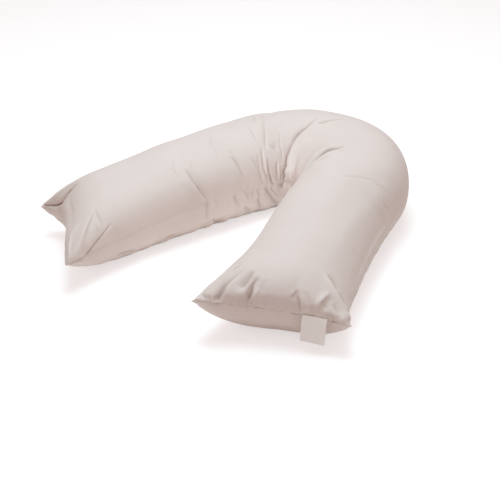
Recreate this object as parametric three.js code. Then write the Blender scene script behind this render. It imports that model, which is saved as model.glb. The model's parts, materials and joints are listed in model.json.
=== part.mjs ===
import * as THREE from "three";

// V-shaped pillow: two sewn cloth panels, filled, with a bare care label in one end seam.
// It lies on z = 0 with the V open towards -Y. Lengths in millimetres, angles in degrees, +Z up.

// Spine: far arm, round bend, near arm. Each arm splays away from the -Y line.
const ARM_LENGTH = 600;
const BEND_RADIUS = 150;
const FAR_SPLAY = 15.5;
const NEAR_SPLAY = 18;

// Sections along the spine, from the far end to the near end, as shares of its length.
// Inner and outer are half widths, crown is the top, and the seam has a height on each side.
const STATIONS = [
  { share: 0.0, inner: 145, outer: 150, crown: 165, innerSeam: 76, outerSeam: 80 },
  { share: 0.1, inner: 120, outer: 128, crown: 172, innerSeam: 86, outerSeam: 75 },
  { share: 0.24, inner: 122, outer: 140, crown: 192, innerSeam: 100, outerSeam: 78 },
  { share: 0.4, inner: 130, outer: 146, crown: 200, innerSeam: 90, outerSeam: 82 },
  { share: 0.5, inner: 130, outer: 150, crown: 210, innerSeam: 86, outerSeam: 86 },
  { share: 0.6, inner: 128, outer: 138, crown: 205, innerSeam: 82, outerSeam: 88 },
  { share: 0.76, inner: 130, outer: 126, crown: 184, innerSeam: 80, outerSeam: 82 },
  { share: 0.9, inner: 142, outer: 126, crown: 162, innerSeam: 76, outerSeam: 72 },
  { share: 1.0, inner: 176, outer: 154, crown: 154, innerSeam: 102, outerSeam: 72 },
];

// Section roundness, and how far the filling presses the underside flat on the surface.
const ROUNDNESS = 2.5;
const FLATTENING = 12;

// Open ends: length over which the filling rises, thinness of the ears, draw-in and slant of the seam.
const END_RISE = 150;
const EAR_THINNING = 1.6;
const END_REACH = 140;
const FAR_HOLLOW = 38;
const NEAR_HOLLOW = 15;
const FAR_SLANT = 52;
const NEAR_SLANT = 31;

// Folds. A path runs from its deep end to its faint end through [distance along spine, angle round
// the girth]: -90 is the inner seam, 0 the crown, 90 the outer seam. A negative depth is a ridge.
// Lip is the cloth pushed up beside the fold, on the near arm's side.
const FOLDS = [
  {
    name: "bend fold", width: 14, depth: 32, lip: 12,
    path: [[578, -92], [602, -74], [668, -54], [727, -31], [772, 2]],
  },
  {
    name: "crescent fold", width: 14, depth: 22, lip: 8,
    path: [[1070, -62], [1005, -52], [985, -33], [968, -8]],
  },
  { name: "crown crease", width: 13, depth: 7, lip: 0, path: [[778, -22], [795, -8], [812, 10]] },
  {
    name: "long corner crease", width: 11, depth: 10, lip: 3,
    path: [[550, -92], [536, -60], [562, -38], [640, 14]],
  },
  { name: "low corner crease", width: 11, depth: 10, lip: 0, path: [[552, -92], [526, -64], [532, -42]] },
  { name: "underside pucker", width: 14, depth: 10, lip: 0, path: [[538, -92], [552, -106], [566, -122]] },
  {
    name: "arm crease", width: 13, depth: 19, lip: 5,
    path: [[346, -86], [338, -76], [329, -56], [320, -34]],
  },
  { name: "arm crease below", width: 14, depth: 13, lip: 3, path: [[350, -92], [356, -104], [370, -118]] },
  { name: "short arm crease", width: 13, depth: 9, lip: 0, path: [[474, -76], [463, -58], [452, -42]] },
  { name: "far ear line", width: 12, depth: 14, lip: 0, path: [[10, 44], [24, 34], [46, 29], [80, 28]] },
  {
    name: "near ear line", width: 12, depth: 18, lip: 5,
    path: [[24, -84], [54, -79], [88, -68], [106, -50]],
  },
  { name: "far end hollow", width: 12, depth: 11, lip: 0, path: [[14, -60], [20, -48], [30, -32]] },
  { name: "far end ridge", width: 12, depth: -9, lip: 0, path: [[20, -74], [36, -52], [56, -42]] },
  { name: "first gather", width: 13, depth: 16, lip: 4, path: [[1570, -45], [1543, -47], [1506, -33]] },
  { name: "second gather", width: 12, depth: 13, lip: 3, path: [[1566, -28], [1541, -29], [1512, -25]] },
  { name: "third gather", width: 12, depth: 12, lip: 3, path: [[1570, -14], [1550, -16], [1526, -14]] },
  { name: "inner ear tuck", width: 13, depth: 11, lip: 0, path: [[1560, -76], [1556, -60], [1524, -55]] },
  { name: "end dimple", width: 13, depth: 15, lip: 0, path: [[1566, 17], [1554, 15], [1534, 12]] },
  { name: "outer ear ridge", width: 14, depth: -12, lip: 0, path: [[1556, 68], [1539, 52], [1500, 38]] },
  { name: "outer ear hollow", width: 13, depth: 14, lip: 0, path: [[1568, 41], [1552, 42], [1530, 42]] },
];

// A fold fades out where the filling is thinner than this, and near the surface below.
const FULL_FOLD_FILL = 22;
const FOLD_CLEARANCE = { from: 6, to: 30 };
const FOLD_SAMPLES = 28;

// Facets: rows along the spine are closer at the ends, round the bend and at the arm crease.
const ROW_RUNS = [
  { until: 112, step: 8 },
  { until: 300, step: 20 },
  { until: 390, step: 9 },
  { until: 520, step: 20 },
  { until: 1010, step: 10.5 },
  { until: 1472, step: 20 },
  { until: Infinity, step: 8 },
];
const TOP_COLUMNS = 32;

// Care label, hanging from the near end seam.
const LABEL = {
  across: 0.53,
  width: 52,
  length: 58,
  thick: 1.2,
  clear: 0.4,
  kick: 4,
  sway: -6,
  columns: 6,
  rows: 8,
};

const CLOTH_COLOUR = 0xd8ccc6;
const LABEL_COLOUR = 0xe8e2de;

const radians = THREE.MathUtils.degToRad;
const clamp = THREE.MathUtils.clamp;
const ARC_LENGTH = BEND_RADIUS * (Math.PI - radians(FAR_SPLAY) - radians(NEAR_SPLAY));
const SPINE_LENGTH = 2 * ARM_LENGTH + ARC_LENGTH;

// Value of one station column at a distance along the spine, joined by smooth curves.
function station(column, along) {
  const share = clamp(along / SPINE_LENGTH, 0, 1);
  const last = STATIONS.length - 1;
  const i = clamp(STATIONS.findIndex((row) => row.share > share) - 1, 0, last - 1);
  const k = share >= 1 ? last - 1 : i;
  const slope = (n) => {
    const a = STATIONS[Math.max(n - 1, 0)];
    const b = STATIONS[Math.min(n + 1, last)];
    return (b[column] - a[column]) / (b.share - a.share);
  };
  const span = STATIONS[k + 1].share - STATIONS[k].share;
  const t = (share - STATIONS[k].share) / span;
  const p0 = STATIONS[k][column];
  const p1 = STATIONS[k + 1][column];
  const blend = t * t * (3 - 2 * t);
  const bow = t * (1 - t) * ((1 - t) * slope(k) - t * slope(k + 1)) * span;
  return p0 + (p1 - p0) * blend + bow;
}

// Point of the spine on the ground plane, with its outward and forward directions.
function spine(along) {
  const turn = (along - ARM_LENGTH) / BEND_RADIUS;
  const angle = Math.PI - radians(FAR_SPLAY) - clamp(turn, 0, ARC_LENGTH / BEND_RADIUS);
  const out = new THREE.Vector2(Math.cos(angle), Math.sin(angle));
  const ahead = new THREE.Vector2(out.y, -out.x);
  const past = Math.min(along - ARM_LENGTH, 0) + Math.max(along - ARM_LENGTH - ARC_LENGTH, 0);
  const point = out.clone().multiplyScalar(BEND_RADIUS).addScaledVector(ahead, past);
  return { point, out, ahead };
}

// How full the pillow is near an open end, from 0 at the seam to 1.
function endFill(distance) {
  const short = 1 - clamp(distance / END_RISE, 0, 1);
  return Math.sqrt(1 - short * short);
}

// Point of the seamed skin: the angle goes round the girth, past 90 either way on the underside.
function skin(along, angle) {
  const across = clamp(Math.sin(radians(angle)), -1, 1);
  const above = Math.abs(angle) <= 90;
  const inner = station("inner", along);
  const outer = station("outer", along);
  const { point, out, ahead } = spine(along);
  const farShare = clamp(1 - along / END_REACH, 0, 1);
  const nearShare = clamp(1 - (SPINE_LENGTH - along) / END_REACH, 0, 1);
  const hollow = (1 - across * across) * (FAR_HOLLOW * farShare - NEAR_HOLLOW * nearShare);
  const slant = across * (FAR_SLANT * farShare - NEAR_SLANT * nearShare);
  const place = point.clone();
  place.addScaledVector(out, (across * (outer + inner) + outer - inner) / 2);
  place.addScaledVector(ahead, hollow + slant);
  const innerSeam = station("innerSeam", along);
  const outerSeam = station("outerSeam", along);
  const seam = innerSeam + ((outerSeam - innerSeam) * (across + 1)) / 2;
  const full = endFill(along) * endFill(SPINE_LENGTH - along);
  const roof = Math.pow(Math.max(1 - Math.pow(Math.abs(across), ROUNDNESS), 0), 1 / ROUNDNESS);
  const thinning = 1 + EAR_THINNING * (1 - roof) * (1 - full);
  const fill = Math.pow(roof * full, thinning);
  const top = seam + (station("crown", along) - seam) * fill;
  const base = Math.max(0, seam - (seam + FLATTENING) * fill);
  return { at: new THREE.Vector3(place.x, place.y, above ? top : base), fill: top - base };
}

// A fold's line on the skin, sampled from its deep end to its faint end.
function foldLine(fold) {
  const legs = fold.path.length - 1;
  return Array.from({ length: FOLD_SAMPLES + 1 }, (_, n) => {
    const t = n / FOLD_SAMPLES;
    const leg = Math.min(Math.floor(t * legs), legs - 1);
    const [alongA, angleA] = fold.path[leg];
    const [alongB, angleB] = fold.path[leg + 1];
    const part = t * legs - leg;
    const along = THREE.MathUtils.lerp(alongA, alongB, part);
    return skin(along, THREE.MathUtils.lerp(angleA, angleB, part)).at;
  });
}

// Height that one fold gives to a point of the skin.
function foldHeight(fold, line, at, normal) {
  let nearest = 0;
  let least = Infinity;
  line.forEach((sample, n) => {
    const gap = sample.distanceToSquared(at);
    if (gap < least) {
      least = gap;
      nearest = n;
    }
  });
  const before = line[Math.max(nearest - 1, 0)];
  const after = line[Math.min(nearest + 1, FOLD_SAMPLES)];
  const aside = after.clone().sub(before).normalize().cross(normal);
  const beside = at.clone().sub(line[nearest]).dot(aside);
  const faint = nearest / FOLD_SAMPLES;
  const strength = 1 - faint * faint;
  const groove = Math.exp(-least / (fold.width * fold.width));
  const lipAway = (beside - 1.7 * fold.width) / (1.1 * fold.width);
  const reach = Math.exp(-Math.max(least - beside * beside, 0) / (fold.width * fold.width));
  return strength * (fold.lip * Math.exp(-lipAway * lipAway) * reach - fold.depth * groove);
}

// Distances along the spine of the facet rows.
function rowPlaces() {
  const places = [0];
  let from = 0;
  for (const run of ROW_RUNS) {
    const until = Math.min(run.until, SPINE_LENGTH);
    const count = Math.round((until - from) / run.step);
    for (let n = 1; n <= count; n += 1) {
      places.push(from + ((until - from) * n) / count);
    }
    from = until;
  }
  return places;
}

// Pillow body: a grid over the top panel and a grid of half the columns under it, joined at the seam.
function pillowGeometry() {
  const rows = rowPlaces();
  const lastRow = rows.length - 1;
  const half = TOP_COLUMNS / 2;
  const skins = [];
  const vertex = (along, angle) => skins.push(skin(along, angle)) - 1;
  const top = rows.map((along) =>
    Array.from({ length: TOP_COLUMNS + 1 }, (_, j) => vertex(along, -90 + (180 * j) / TOP_COLUMNS)),
  );
  const under = rows.map((along, i) =>
    Array.from({ length: half + 1 }, (_, j) => {
      const onSeam = i === 0 || i === lastRow || j === 0 || j === half;
      const round = (180 * j) / half;
      return onSeam ? top[i][2 * j] : vertex(along, j < half / 2 ? -90 - round : 270 - round);
    }),
  );
  const faces = [];
  for (let i = 0; i < lastRow; i += 1) {
    for (let j = 0; j < TOP_COLUMNS; j += 1) {
      const [a, b, c, d] = [top[i][j], top[i + 1][j], top[i + 1][j + 1], top[i][j + 1]];
      const fromCorner = i < lastRow / 2 === j < half;
      faces.push(...(fromCorner ? [[a, b, c], [a, c, d]] : [[a, b, d], [b, c, d]]));
    }
    for (let j = 0; j < half; j += 1) {
      const [a, b, c, d] = [under[i][j], under[i + 1][j], under[i + 1][j + 1], under[i][j + 1]];
      const mid = i === 0 ? top[0][2 * j + 1] : top[lastRow][2 * j + 1];
      if (i === 0) {
        faces.push([a, mid, b], [mid, c, b], [mid, d, c]);
      } else if (i === lastRow - 1) {
        faces.push([a, mid, b], [a, d, mid], [d, c, mid]);
      } else {
        faces.push([a, c, b], [a, d, c]);
      }
    }
  }
  const geometry = new THREE.BufferGeometry();
  const flat = (points) => new THREE.Float32BufferAttribute(points.flatMap((p) => p.toArray()), 3);
  geometry.setAttribute("position", flat(skins.map((s) => s.at)));
  geometry.setIndex(faces.flat());
  geometry.computeVertexNormals();
  const lines = FOLDS.map(foldLine);
  const normals = geometry.getAttribute("normal");
  const folded = skins.map(({ at, fill }, v) => {
    const normal = new THREE.Vector3().fromBufferAttribute(normals, v);
    const lift = THREE.MathUtils.smoothstep(at.z, FOLD_CLEARANCE.from, FOLD_CLEARANCE.to);
    const strength = lift * clamp(fill / FULL_FOLD_FILL, 0, 1);
    const height = FOLDS.reduce((sum, fold, n) => sum + foldHeight(fold, lines[n], at, normal), 0);
    return at.clone().addScaledVector(normal, strength * Math.max(height, -0.35 * fill));
  });
  geometry.setAttribute("position", flat(folded));
  geometry.computeVertexNormals();
  return geometry;
}

// Care label: a thin sheet that leaves the end seam and hangs.
function labelGeometry() {
  const { out, ahead } = spine(SPINE_LENGTH);
  const halfWidth = (station("inner", SPINE_LENGTH) + station("outer", SPINE_LENGTH)) / 2;
  const reach = LABEL.width / 2 / halfWidth;
  const points = [];
  const point = (i, j, front) => {
    const across = LABEL.across + reach * ((2 * i) / LABEL.columns - 1);
    const drop = (LABEL.length * j) / LABEL.rows;
    const seam = skin(SPINE_LENGTH, THREE.MathUtils.radToDeg(Math.asin(across))).at;
    const away = LABEL.clear + LABEL.kick * (1 - Math.exp(-drop / 14)) + (front ? LABEL.thick : 0);
    const aside = (LABEL.sway * j) / LABEL.rows;
    const x = seam.x + ahead.x * away + out.x * aside;
    const y = seam.y + ahead.y * away + out.y * aside;
    return points.push(new THREE.Vector3(x, y, seam.z - drop)) - 1;
  };
  const layer = (front) =>
    Array.from({ length: LABEL.columns + 1 }, (_, i) =>
      Array.from({ length: LABEL.rows + 1 }, (_unused, j) => point(i, j, front)),
    );
  const back = layer(false);
  const face = layer(true);
  const faces = [];
  const quad = (a, b, c, d) => faces.push([a, b, c], [a, c, d]);
  for (let i = 0; i < LABEL.columns; i += 1) {
    for (let j = 0; j < LABEL.rows; j += 1) {
      quad(face[i][j], face[i][j + 1], face[i + 1][j + 1], face[i + 1][j]);
      quad(back[i][j], back[i + 1][j], back[i + 1][j + 1], back[i][j + 1]);
    }
    quad(back[i][0], face[i][0], face[i + 1][0], back[i + 1][0]);
    quad(face[i][LABEL.rows], back[i][LABEL.rows], back[i + 1][LABEL.rows], face[i + 1][LABEL.rows]);
  }
  for (let j = 0; j < LABEL.rows; j += 1) {
    const right = LABEL.columns;
    quad(back[0][j], back[0][j + 1], face[0][j + 1], face[0][j]);
    quad(face[right][j], face[right][j + 1], back[right][j + 1], back[right][j]);
  }
  const geometry = new THREE.BufferGeometry();
  geometry.setAttribute("position", new THREE.Float32BufferAttribute(points.flatMap((p) => p.toArray()), 3));
  geometry.setIndex(faces.flat());
  geometry.computeVertexNormals();
  return geometry;
}

// One named mesh in its own cloth.
function clothMesh(name, geometry, colour) {
  const material = new THREE.MeshStandardMaterial({ color: colour, roughness: 0.9, metalness: 0 });
  const mesh = new THREE.Mesh(geometry, material);
  mesh.name = name;
  return mesh;
}

const pillow = new THREE.Group();
pillow.name = "v_shaped_pillow";
pillow.add(clothMesh("pillow_body", pillowGeometry(), CLOTH_COLOUR));
pillow.add(clothMesh("care_label", labelGeometry(), LABEL_COLOUR));

// The origin is the middle of the footprint, on the surface.
const footprint = new THREE.Box3().setFromObject(pillow).getCenter(new THREE.Vector3());
pillow.children.forEach((piece) => piece.geometry.translate(-footprint.x, -footprint.y, 0));

export default pillow;
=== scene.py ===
"""V-shaped pillow: a filled body with its folds and seam, seam stitches, a bare care label and a studio."""

from __future__ import annotations

import json
import logging
import math
from dataclasses import dataclass, field, replace
from enum import Enum

import bmesh
import bpy
import numpy as np
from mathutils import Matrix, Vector
from mathutils.kdtree import KDTree

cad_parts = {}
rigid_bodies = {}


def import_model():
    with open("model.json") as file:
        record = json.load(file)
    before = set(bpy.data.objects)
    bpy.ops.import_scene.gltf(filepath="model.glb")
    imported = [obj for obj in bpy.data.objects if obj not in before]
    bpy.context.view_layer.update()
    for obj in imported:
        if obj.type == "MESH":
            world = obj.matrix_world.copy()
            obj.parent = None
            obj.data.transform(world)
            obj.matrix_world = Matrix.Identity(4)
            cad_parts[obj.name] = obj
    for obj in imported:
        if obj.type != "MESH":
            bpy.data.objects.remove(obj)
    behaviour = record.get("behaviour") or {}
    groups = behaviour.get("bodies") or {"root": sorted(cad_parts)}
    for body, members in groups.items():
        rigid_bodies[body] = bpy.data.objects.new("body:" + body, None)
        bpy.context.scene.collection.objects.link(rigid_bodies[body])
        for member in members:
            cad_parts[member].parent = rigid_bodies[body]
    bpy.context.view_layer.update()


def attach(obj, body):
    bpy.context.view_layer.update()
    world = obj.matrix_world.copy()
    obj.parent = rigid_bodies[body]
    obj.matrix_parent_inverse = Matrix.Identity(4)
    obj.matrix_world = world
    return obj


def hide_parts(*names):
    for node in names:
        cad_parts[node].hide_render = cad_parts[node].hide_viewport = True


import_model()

MM = 0.001
BODY_NODE = "pillow_body"
LABEL_NODE = "care_label"
LOG = logging.getLogger("pillow")


class Fade(Enum):
    """How a fold's strength changes along its path."""

    TO_END = "deep at the start, faint at the end"
    BOTH_ENDS = "faint at both ends"
    NONE = "even all along"


class Basis(Enum):
    """What a fold's path is given in."""

    PHOTO = "pixels of the photo, across and down, picked by eye"
    FORM = "millimetres along the spine and degrees round the girth"


class Panel(Enum):
    """The two cloth panels of the body."""

    TOP = 1
    UNDER = -1


@dataclass(frozen=True)
class Station:
    """One cross section of the body, in millimetres.

    Attributes:
        share: Place along the spine, from 0 to 1.
        inner: Half width towards the inside of the V.
        outer: Half width towards the outside.
        crown: Height of the top.
        inner_seam: Seam height on the inside.
        outer_seam: Seam height on the outside.
    """

    share: float
    inner: float
    outer: float
    crown: float
    inner_seam: float
    outer_seam: float


STATIONS: tuple[Station, ...] = (
    Station(0.0, 145, 150, 168, 76, 75),
    Station(0.1, 120, 128, 174.5, 86, 75),
    Station(0.24, 122, 140, 193.5, 100, 78),
    Station(0.4, 130, 146, 200, 90, 82),
    Station(0.5, 130, 150, 210, 86, 86),
    Station(0.6, 128, 138, 205, 82, 88),
    Station(0.76, 134, 122.5, 184, 80, 82),
    Station(0.9, 142, 126, 162, 76, 72),
    Station(0.97, 165, 137, 156, 93, 70),
    Station(1.0, 176, 154, 154, 102, 72),
)


@dataclass
class PillowForm:
    """The smooth form of the filled pillow: spine, sections and drawn-in ends, in millimetres.

    The far end is the spine's start and the near end its finish. A splay is how far an arm leans out, in
    degrees. A rise is the distance from an end's seam to full height, and an ear rise the same beside the
    corners. A square of 2 makes that curve round, and more makes it squarer. A bulge pushes an end's face
    out, a hollow draws the middle of its seam in, and a slant moves its corners opposite ways along the
    spine. A roundness of 2 makes a section's half an ellipse.
    """

    bend_centre: tuple[float, float] = (-14.7, 163.5)
    arm_length: float = 600.0
    bend_radius: float = 150.0
    far_splay: float = 15.5
    near_splay: float = 18.0
    roundness: float = 2.5
    corner_roundness: float = 1.75
    corner_under: float = 3.6
    outer_roundness: float = 1.7
    outer_from: float = 1000.0
    outer_ease: float = 150.0
    corner_at: float = 720.0
    corner_reach: float = 150.0
    flattening: float = 12.0
    far_rise: float = 146.0
    near_rise: float = 94.0
    far_ear_rise: float = 175.0
    near_ear_rise: float = 150.0
    far_under_rise: float = 162.0
    near_under_rise: float = 155.0
    near_under_ear_rise: float = 132.0
    far_square: float = 1.8
    near_square: float = 2.25
    far_bulge: float = 5.0
    near_bulge: float = 8.0
    ear_thinning: float = 0.25
    ear_power: float = 1.2
    end_reach: float = 140.0
    far_hollow: float = 32.0
    far_skew: float = 0.9
    far_ear: float = 9.0
    near_hollow: float = 15.0
    far_slant: float = 52.0
    near_slant: float = 31.0

    @property
    def arc_length(self) -> float:
        """Length of the spine round the bend."""
        return self.bend_radius * (math.pi - math.radians(self.far_splay + self.near_splay))

    @property
    def length(self) -> float:
        """Whole length of the spine."""
        return 2 * self.arm_length + self.arc_length

    def station(self, column: str, along: np.ndarray) -> np.ndarray:
        """Reads one column of the station table, joined by smooth curves.

        Args:
            column: Name of a Station field.
            along: Distances along the spine.

        Returns:
            The column's value at each distance.
        """
        share = np.array([row.share for row in STATIONS])
        value = np.array([getattr(row, column) for row in STATIONS], dtype=float)
        before = np.maximum(np.arange(len(share)) - 1, 0)
        after = np.minimum(np.arange(len(share)) + 1, len(share) - 1)
        slope = (value[after] - value[before]) / (share[after] - share[before])
        place = np.clip(along / self.length, 0, 1)
        i = np.clip(np.searchsorted(share, place, side="right") - 1, 0, len(share) - 2)
        span = share[i + 1] - share[i]
        t = (place - share[i]) / span
        bow = t * (1 - t) * ((1 - t) * slope[i] - t * slope[i + 1]) * span
        return value[i] + (value[i + 1] - value[i]) * t * t * (3 - 2 * t) + bow

    def spine(self, along: np.ndarray) -> tuple[np.ndarray, np.ndarray, np.ndarray]:
        """Finds the spine on the ground plane.

        Args:
            along: Distances along the spine.

        Returns:
            Points, outward directions and forward directions.
        """
        beyond = along - self.arm_length
        turn = np.clip(beyond / self.bend_radius, 0, self.arc_length / self.bend_radius)
        angle = math.pi - math.radians(self.far_splay) - turn
        out = np.stack([np.cos(angle), np.sin(angle)], axis=-1)
        ahead = np.stack([out[..., 1], -out[..., 0]], axis=-1)
        past = np.minimum(beyond, 0) + np.maximum(beyond - self.arc_length, 0)
        return out * self.bend_radius + ahead * past[..., None], out, ahead

    def end_fill(self, along: np.ndarray, across: np.ndarray, above: np.ndarray) -> np.ndarray:
        """Gives how full the pillow is near its open ends.

        Args:
            along: Distances along the spine.
            across: Places across the pillow, from -1 at the inner seam to 1 at the outer one.
            above: True on the top panel.

        Returns:
            Fullness, from 0 at the ends' seams to 1.
        """
        side = np.abs(across) ** self.ear_power
        near_rise = self.near_rise + (self.near_ear_rise - self.near_rise) * side
        far_rise = self.far_rise + (self.far_ear_rise - self.far_rise) * side
        near_under = self.near_under_rise + (self.near_under_ear_rise - self.near_under_rise) * side
        to_near = np.clip((self.length - along) / np.where(above, near_rise, near_under), 0, 1)
        to_far = np.clip(along / np.where(above, far_rise, self.far_under_rise), 0, 1)
        square = np.where(along < self.length / 2, self.far_square, self.near_square)
        square = 2 + (square - 2) * (1 - side) * above
        return ((1 - (1 - to_near) ** square) * (1 - (1 - to_far) ** square)) ** (1 / square)

    def skin(self, along: np.ndarray, angle: np.ndarray) -> tuple[np.ndarray, np.ndarray]:
        """Finds points of the smooth skin.

        Args:
            along: Distances along the spine.
            angle: Angles round the girth in degrees: -90 is the inner seam, 0 the crown, 90 the outer
                seam, and past 90 either way is the underside.

        Returns:
            The points, and how thick the filling is there.
        """
        along, angle = np.broadcast_arrays(np.asarray(along, float), np.asarray(angle, float))
        across = np.clip(np.sin(np.radians(angle)), -1, 1)
        inner = self.station("inner", along)
        outer = self.station("outer", along)
        point, out, ahead = self.spine(along)
        far = np.clip(1 - along / self.end_reach, 0, 1)
        near = np.clip(1 - (self.length - along) / self.end_reach, 0, 1)
        middle = 1 - across * across
        above = np.abs(angle) <= 90
        hollow = middle * (self.far_hollow * (1 + self.far_skew * across) * far - self.near_hollow * near)
        slant = across * (self.far_slant * far - self.near_slant * near)
        slant = slant - self.far_ear * far * np.clip(across, 0, 1) ** 3
        full = self.end_fill(along, across, above)
        bulge = np.where(along < self.length / 2, -self.far_bulge, self.near_bulge)
        bulge = bulge * above * 4 * full * (1 - full) * middle
        place = point + out * ((across * (outer + inner) + outer - inner) / 2)[..., None]
        place = place + ahead * (hollow + slant + bulge)[..., None]
        inner_seam = self.station("inner_seam", along)
        outer_seam = self.station("outer_seam", along)
        seam = inner_seam + (outer_seam - inner_seam) * (across + 1) / 2
        ease = np.exp(-(((along - self.corner_at) / self.corner_reach) ** 2)) * (across < 0)
        corner = np.where(above, self.corner_roundness, self.corner_under)
        power = self.roundness + (corner - self.roundness) * ease
        side = above * (across > 0) * np.clip((along - self.outer_from) / self.outer_ease, 0, 1)
        power = power + (self.outer_roundness - self.roundness) * side
        roof = np.clip(1 - np.abs(across) ** power, 0, 1) ** (1 / power)
        fill = (roof * full) ** (1 + self.ear_thinning * (1 - roof) * (1 - full))
        top = seam + (self.station("crown", along) - seam) * fill
        base = np.maximum(0, seam - (seam + self.flattening) * fill)
        height = np.where(above, top, base)
        return np.concatenate([place, height[..., None]], axis=-1), top - base


@dataclass(frozen=True)
class PhotoView:
    """The photo's camera. Sizes are in millimetres.

    Attributes:
        target: Point in the middle of the picture.
        azimuth: Turn of the camera round the pillow, in degrees.
        elevation: Angle of the camera above the floor, in degrees.
        distance: Distance of the camera from the target.
        lens: Focal length.
        sensor: Width of the sensor.
        side: Width and height of the photo, in pixels.
    """

    target: tuple[float, float, float] = (63.0, -119.4, 50.0)
    azimuth: float = 37.2
    elevation: float = 29.03
    distance: float = 2757.0
    lens: float = 85.0
    sensor: float = 36.0
    side: int = 500

    @property
    def back(self) -> np.ndarray:
        """Direction from the target to the camera."""
        azimuth, elevation = math.radians(self.azimuth), math.radians(self.elevation)
        level = math.cos(elevation)
        return np.array([math.sin(azimuth) * level, -math.cos(azimuth) * level, math.sin(elevation)])

    @property
    def eye(self) -> np.ndarray:
        """Place of the camera."""
        return np.array(self.target) + self.back * self.distance

    def project(self, points: np.ndarray) -> tuple[np.ndarray, np.ndarray, np.ndarray]:
        """Projects points into the photo.

        Args:
            points: Points in the frame.

        Returns:
            Pixels across, pixels down, and depth in front of the camera.
        """
        azimuth = math.radians(self.azimuth)
        right = np.array([math.cos(azimuth), math.sin(azimuth), 0])
        ray = points - self.eye
        depth = -ray @ self.back
        scale = self.lens / self.sensor * self.side / depth
        across = self.side / 2 + scale * (ray @ right)
        return across, self.side / 2 - scale * (ray @ np.cross(self.back, right)), depth


class SeenSkin:
    """The smooth skin as the photo shows it, to find the place behind a pixel."""

    def __init__(self, form: PillowForm, view: PhotoView, shift: np.ndarray) -> None:
        """Samples the skin and projects the samples.

        Args:
            form: The pillow's smooth form.
            view: The photo's camera.
            shift: Move from the spine's own origin to the frame's.
        """
        rows, columns = 1600, 1441
        along, angle = np.linspace(0, form.length, rows), np.linspace(-180, 180, columns)
        points = form.skin(along[:, None], angle[None])[0].reshape(-1, 3)
        across, down, depth = view.project(points + shift)
        order = np.argsort(across)
        self.across, self.down, self.depth = across[order], down[order], depth[order]
        self.along, self.angle = np.repeat(along, columns)[order], np.tile(angle, rows)[order]

    def place(self, pixel: tuple[float, float]) -> tuple[int, int]:
        """Finds the place on the form that shows at a pixel, or nearest to it.

        Args:
            pixel: Pixels across and down.

        Returns:
            Distance along the spine in whole millimetres and angle round the girth in whole degrees.
        """
        # Pixels to look across, pixels that count as the same spot, and millimetres that part two skins.
        window, reach, same_skin = 4.0, 0.6, 25.0
        first, last = np.searchsorted(self.across, (pixel[0] - window, pixel[0] + window))
        part = slice(first, last)
        off = np.hypot(self.across[part] - pixel[0], self.down[part] - pixel[1])
        depth = np.where(off < off.min() + reach, self.depth[part], np.inf)
        best = first + np.argmin(np.where(depth < depth.min() + same_skin, off, np.inf))
        return round(self.along[best]), round(self.angle[best])


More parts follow.
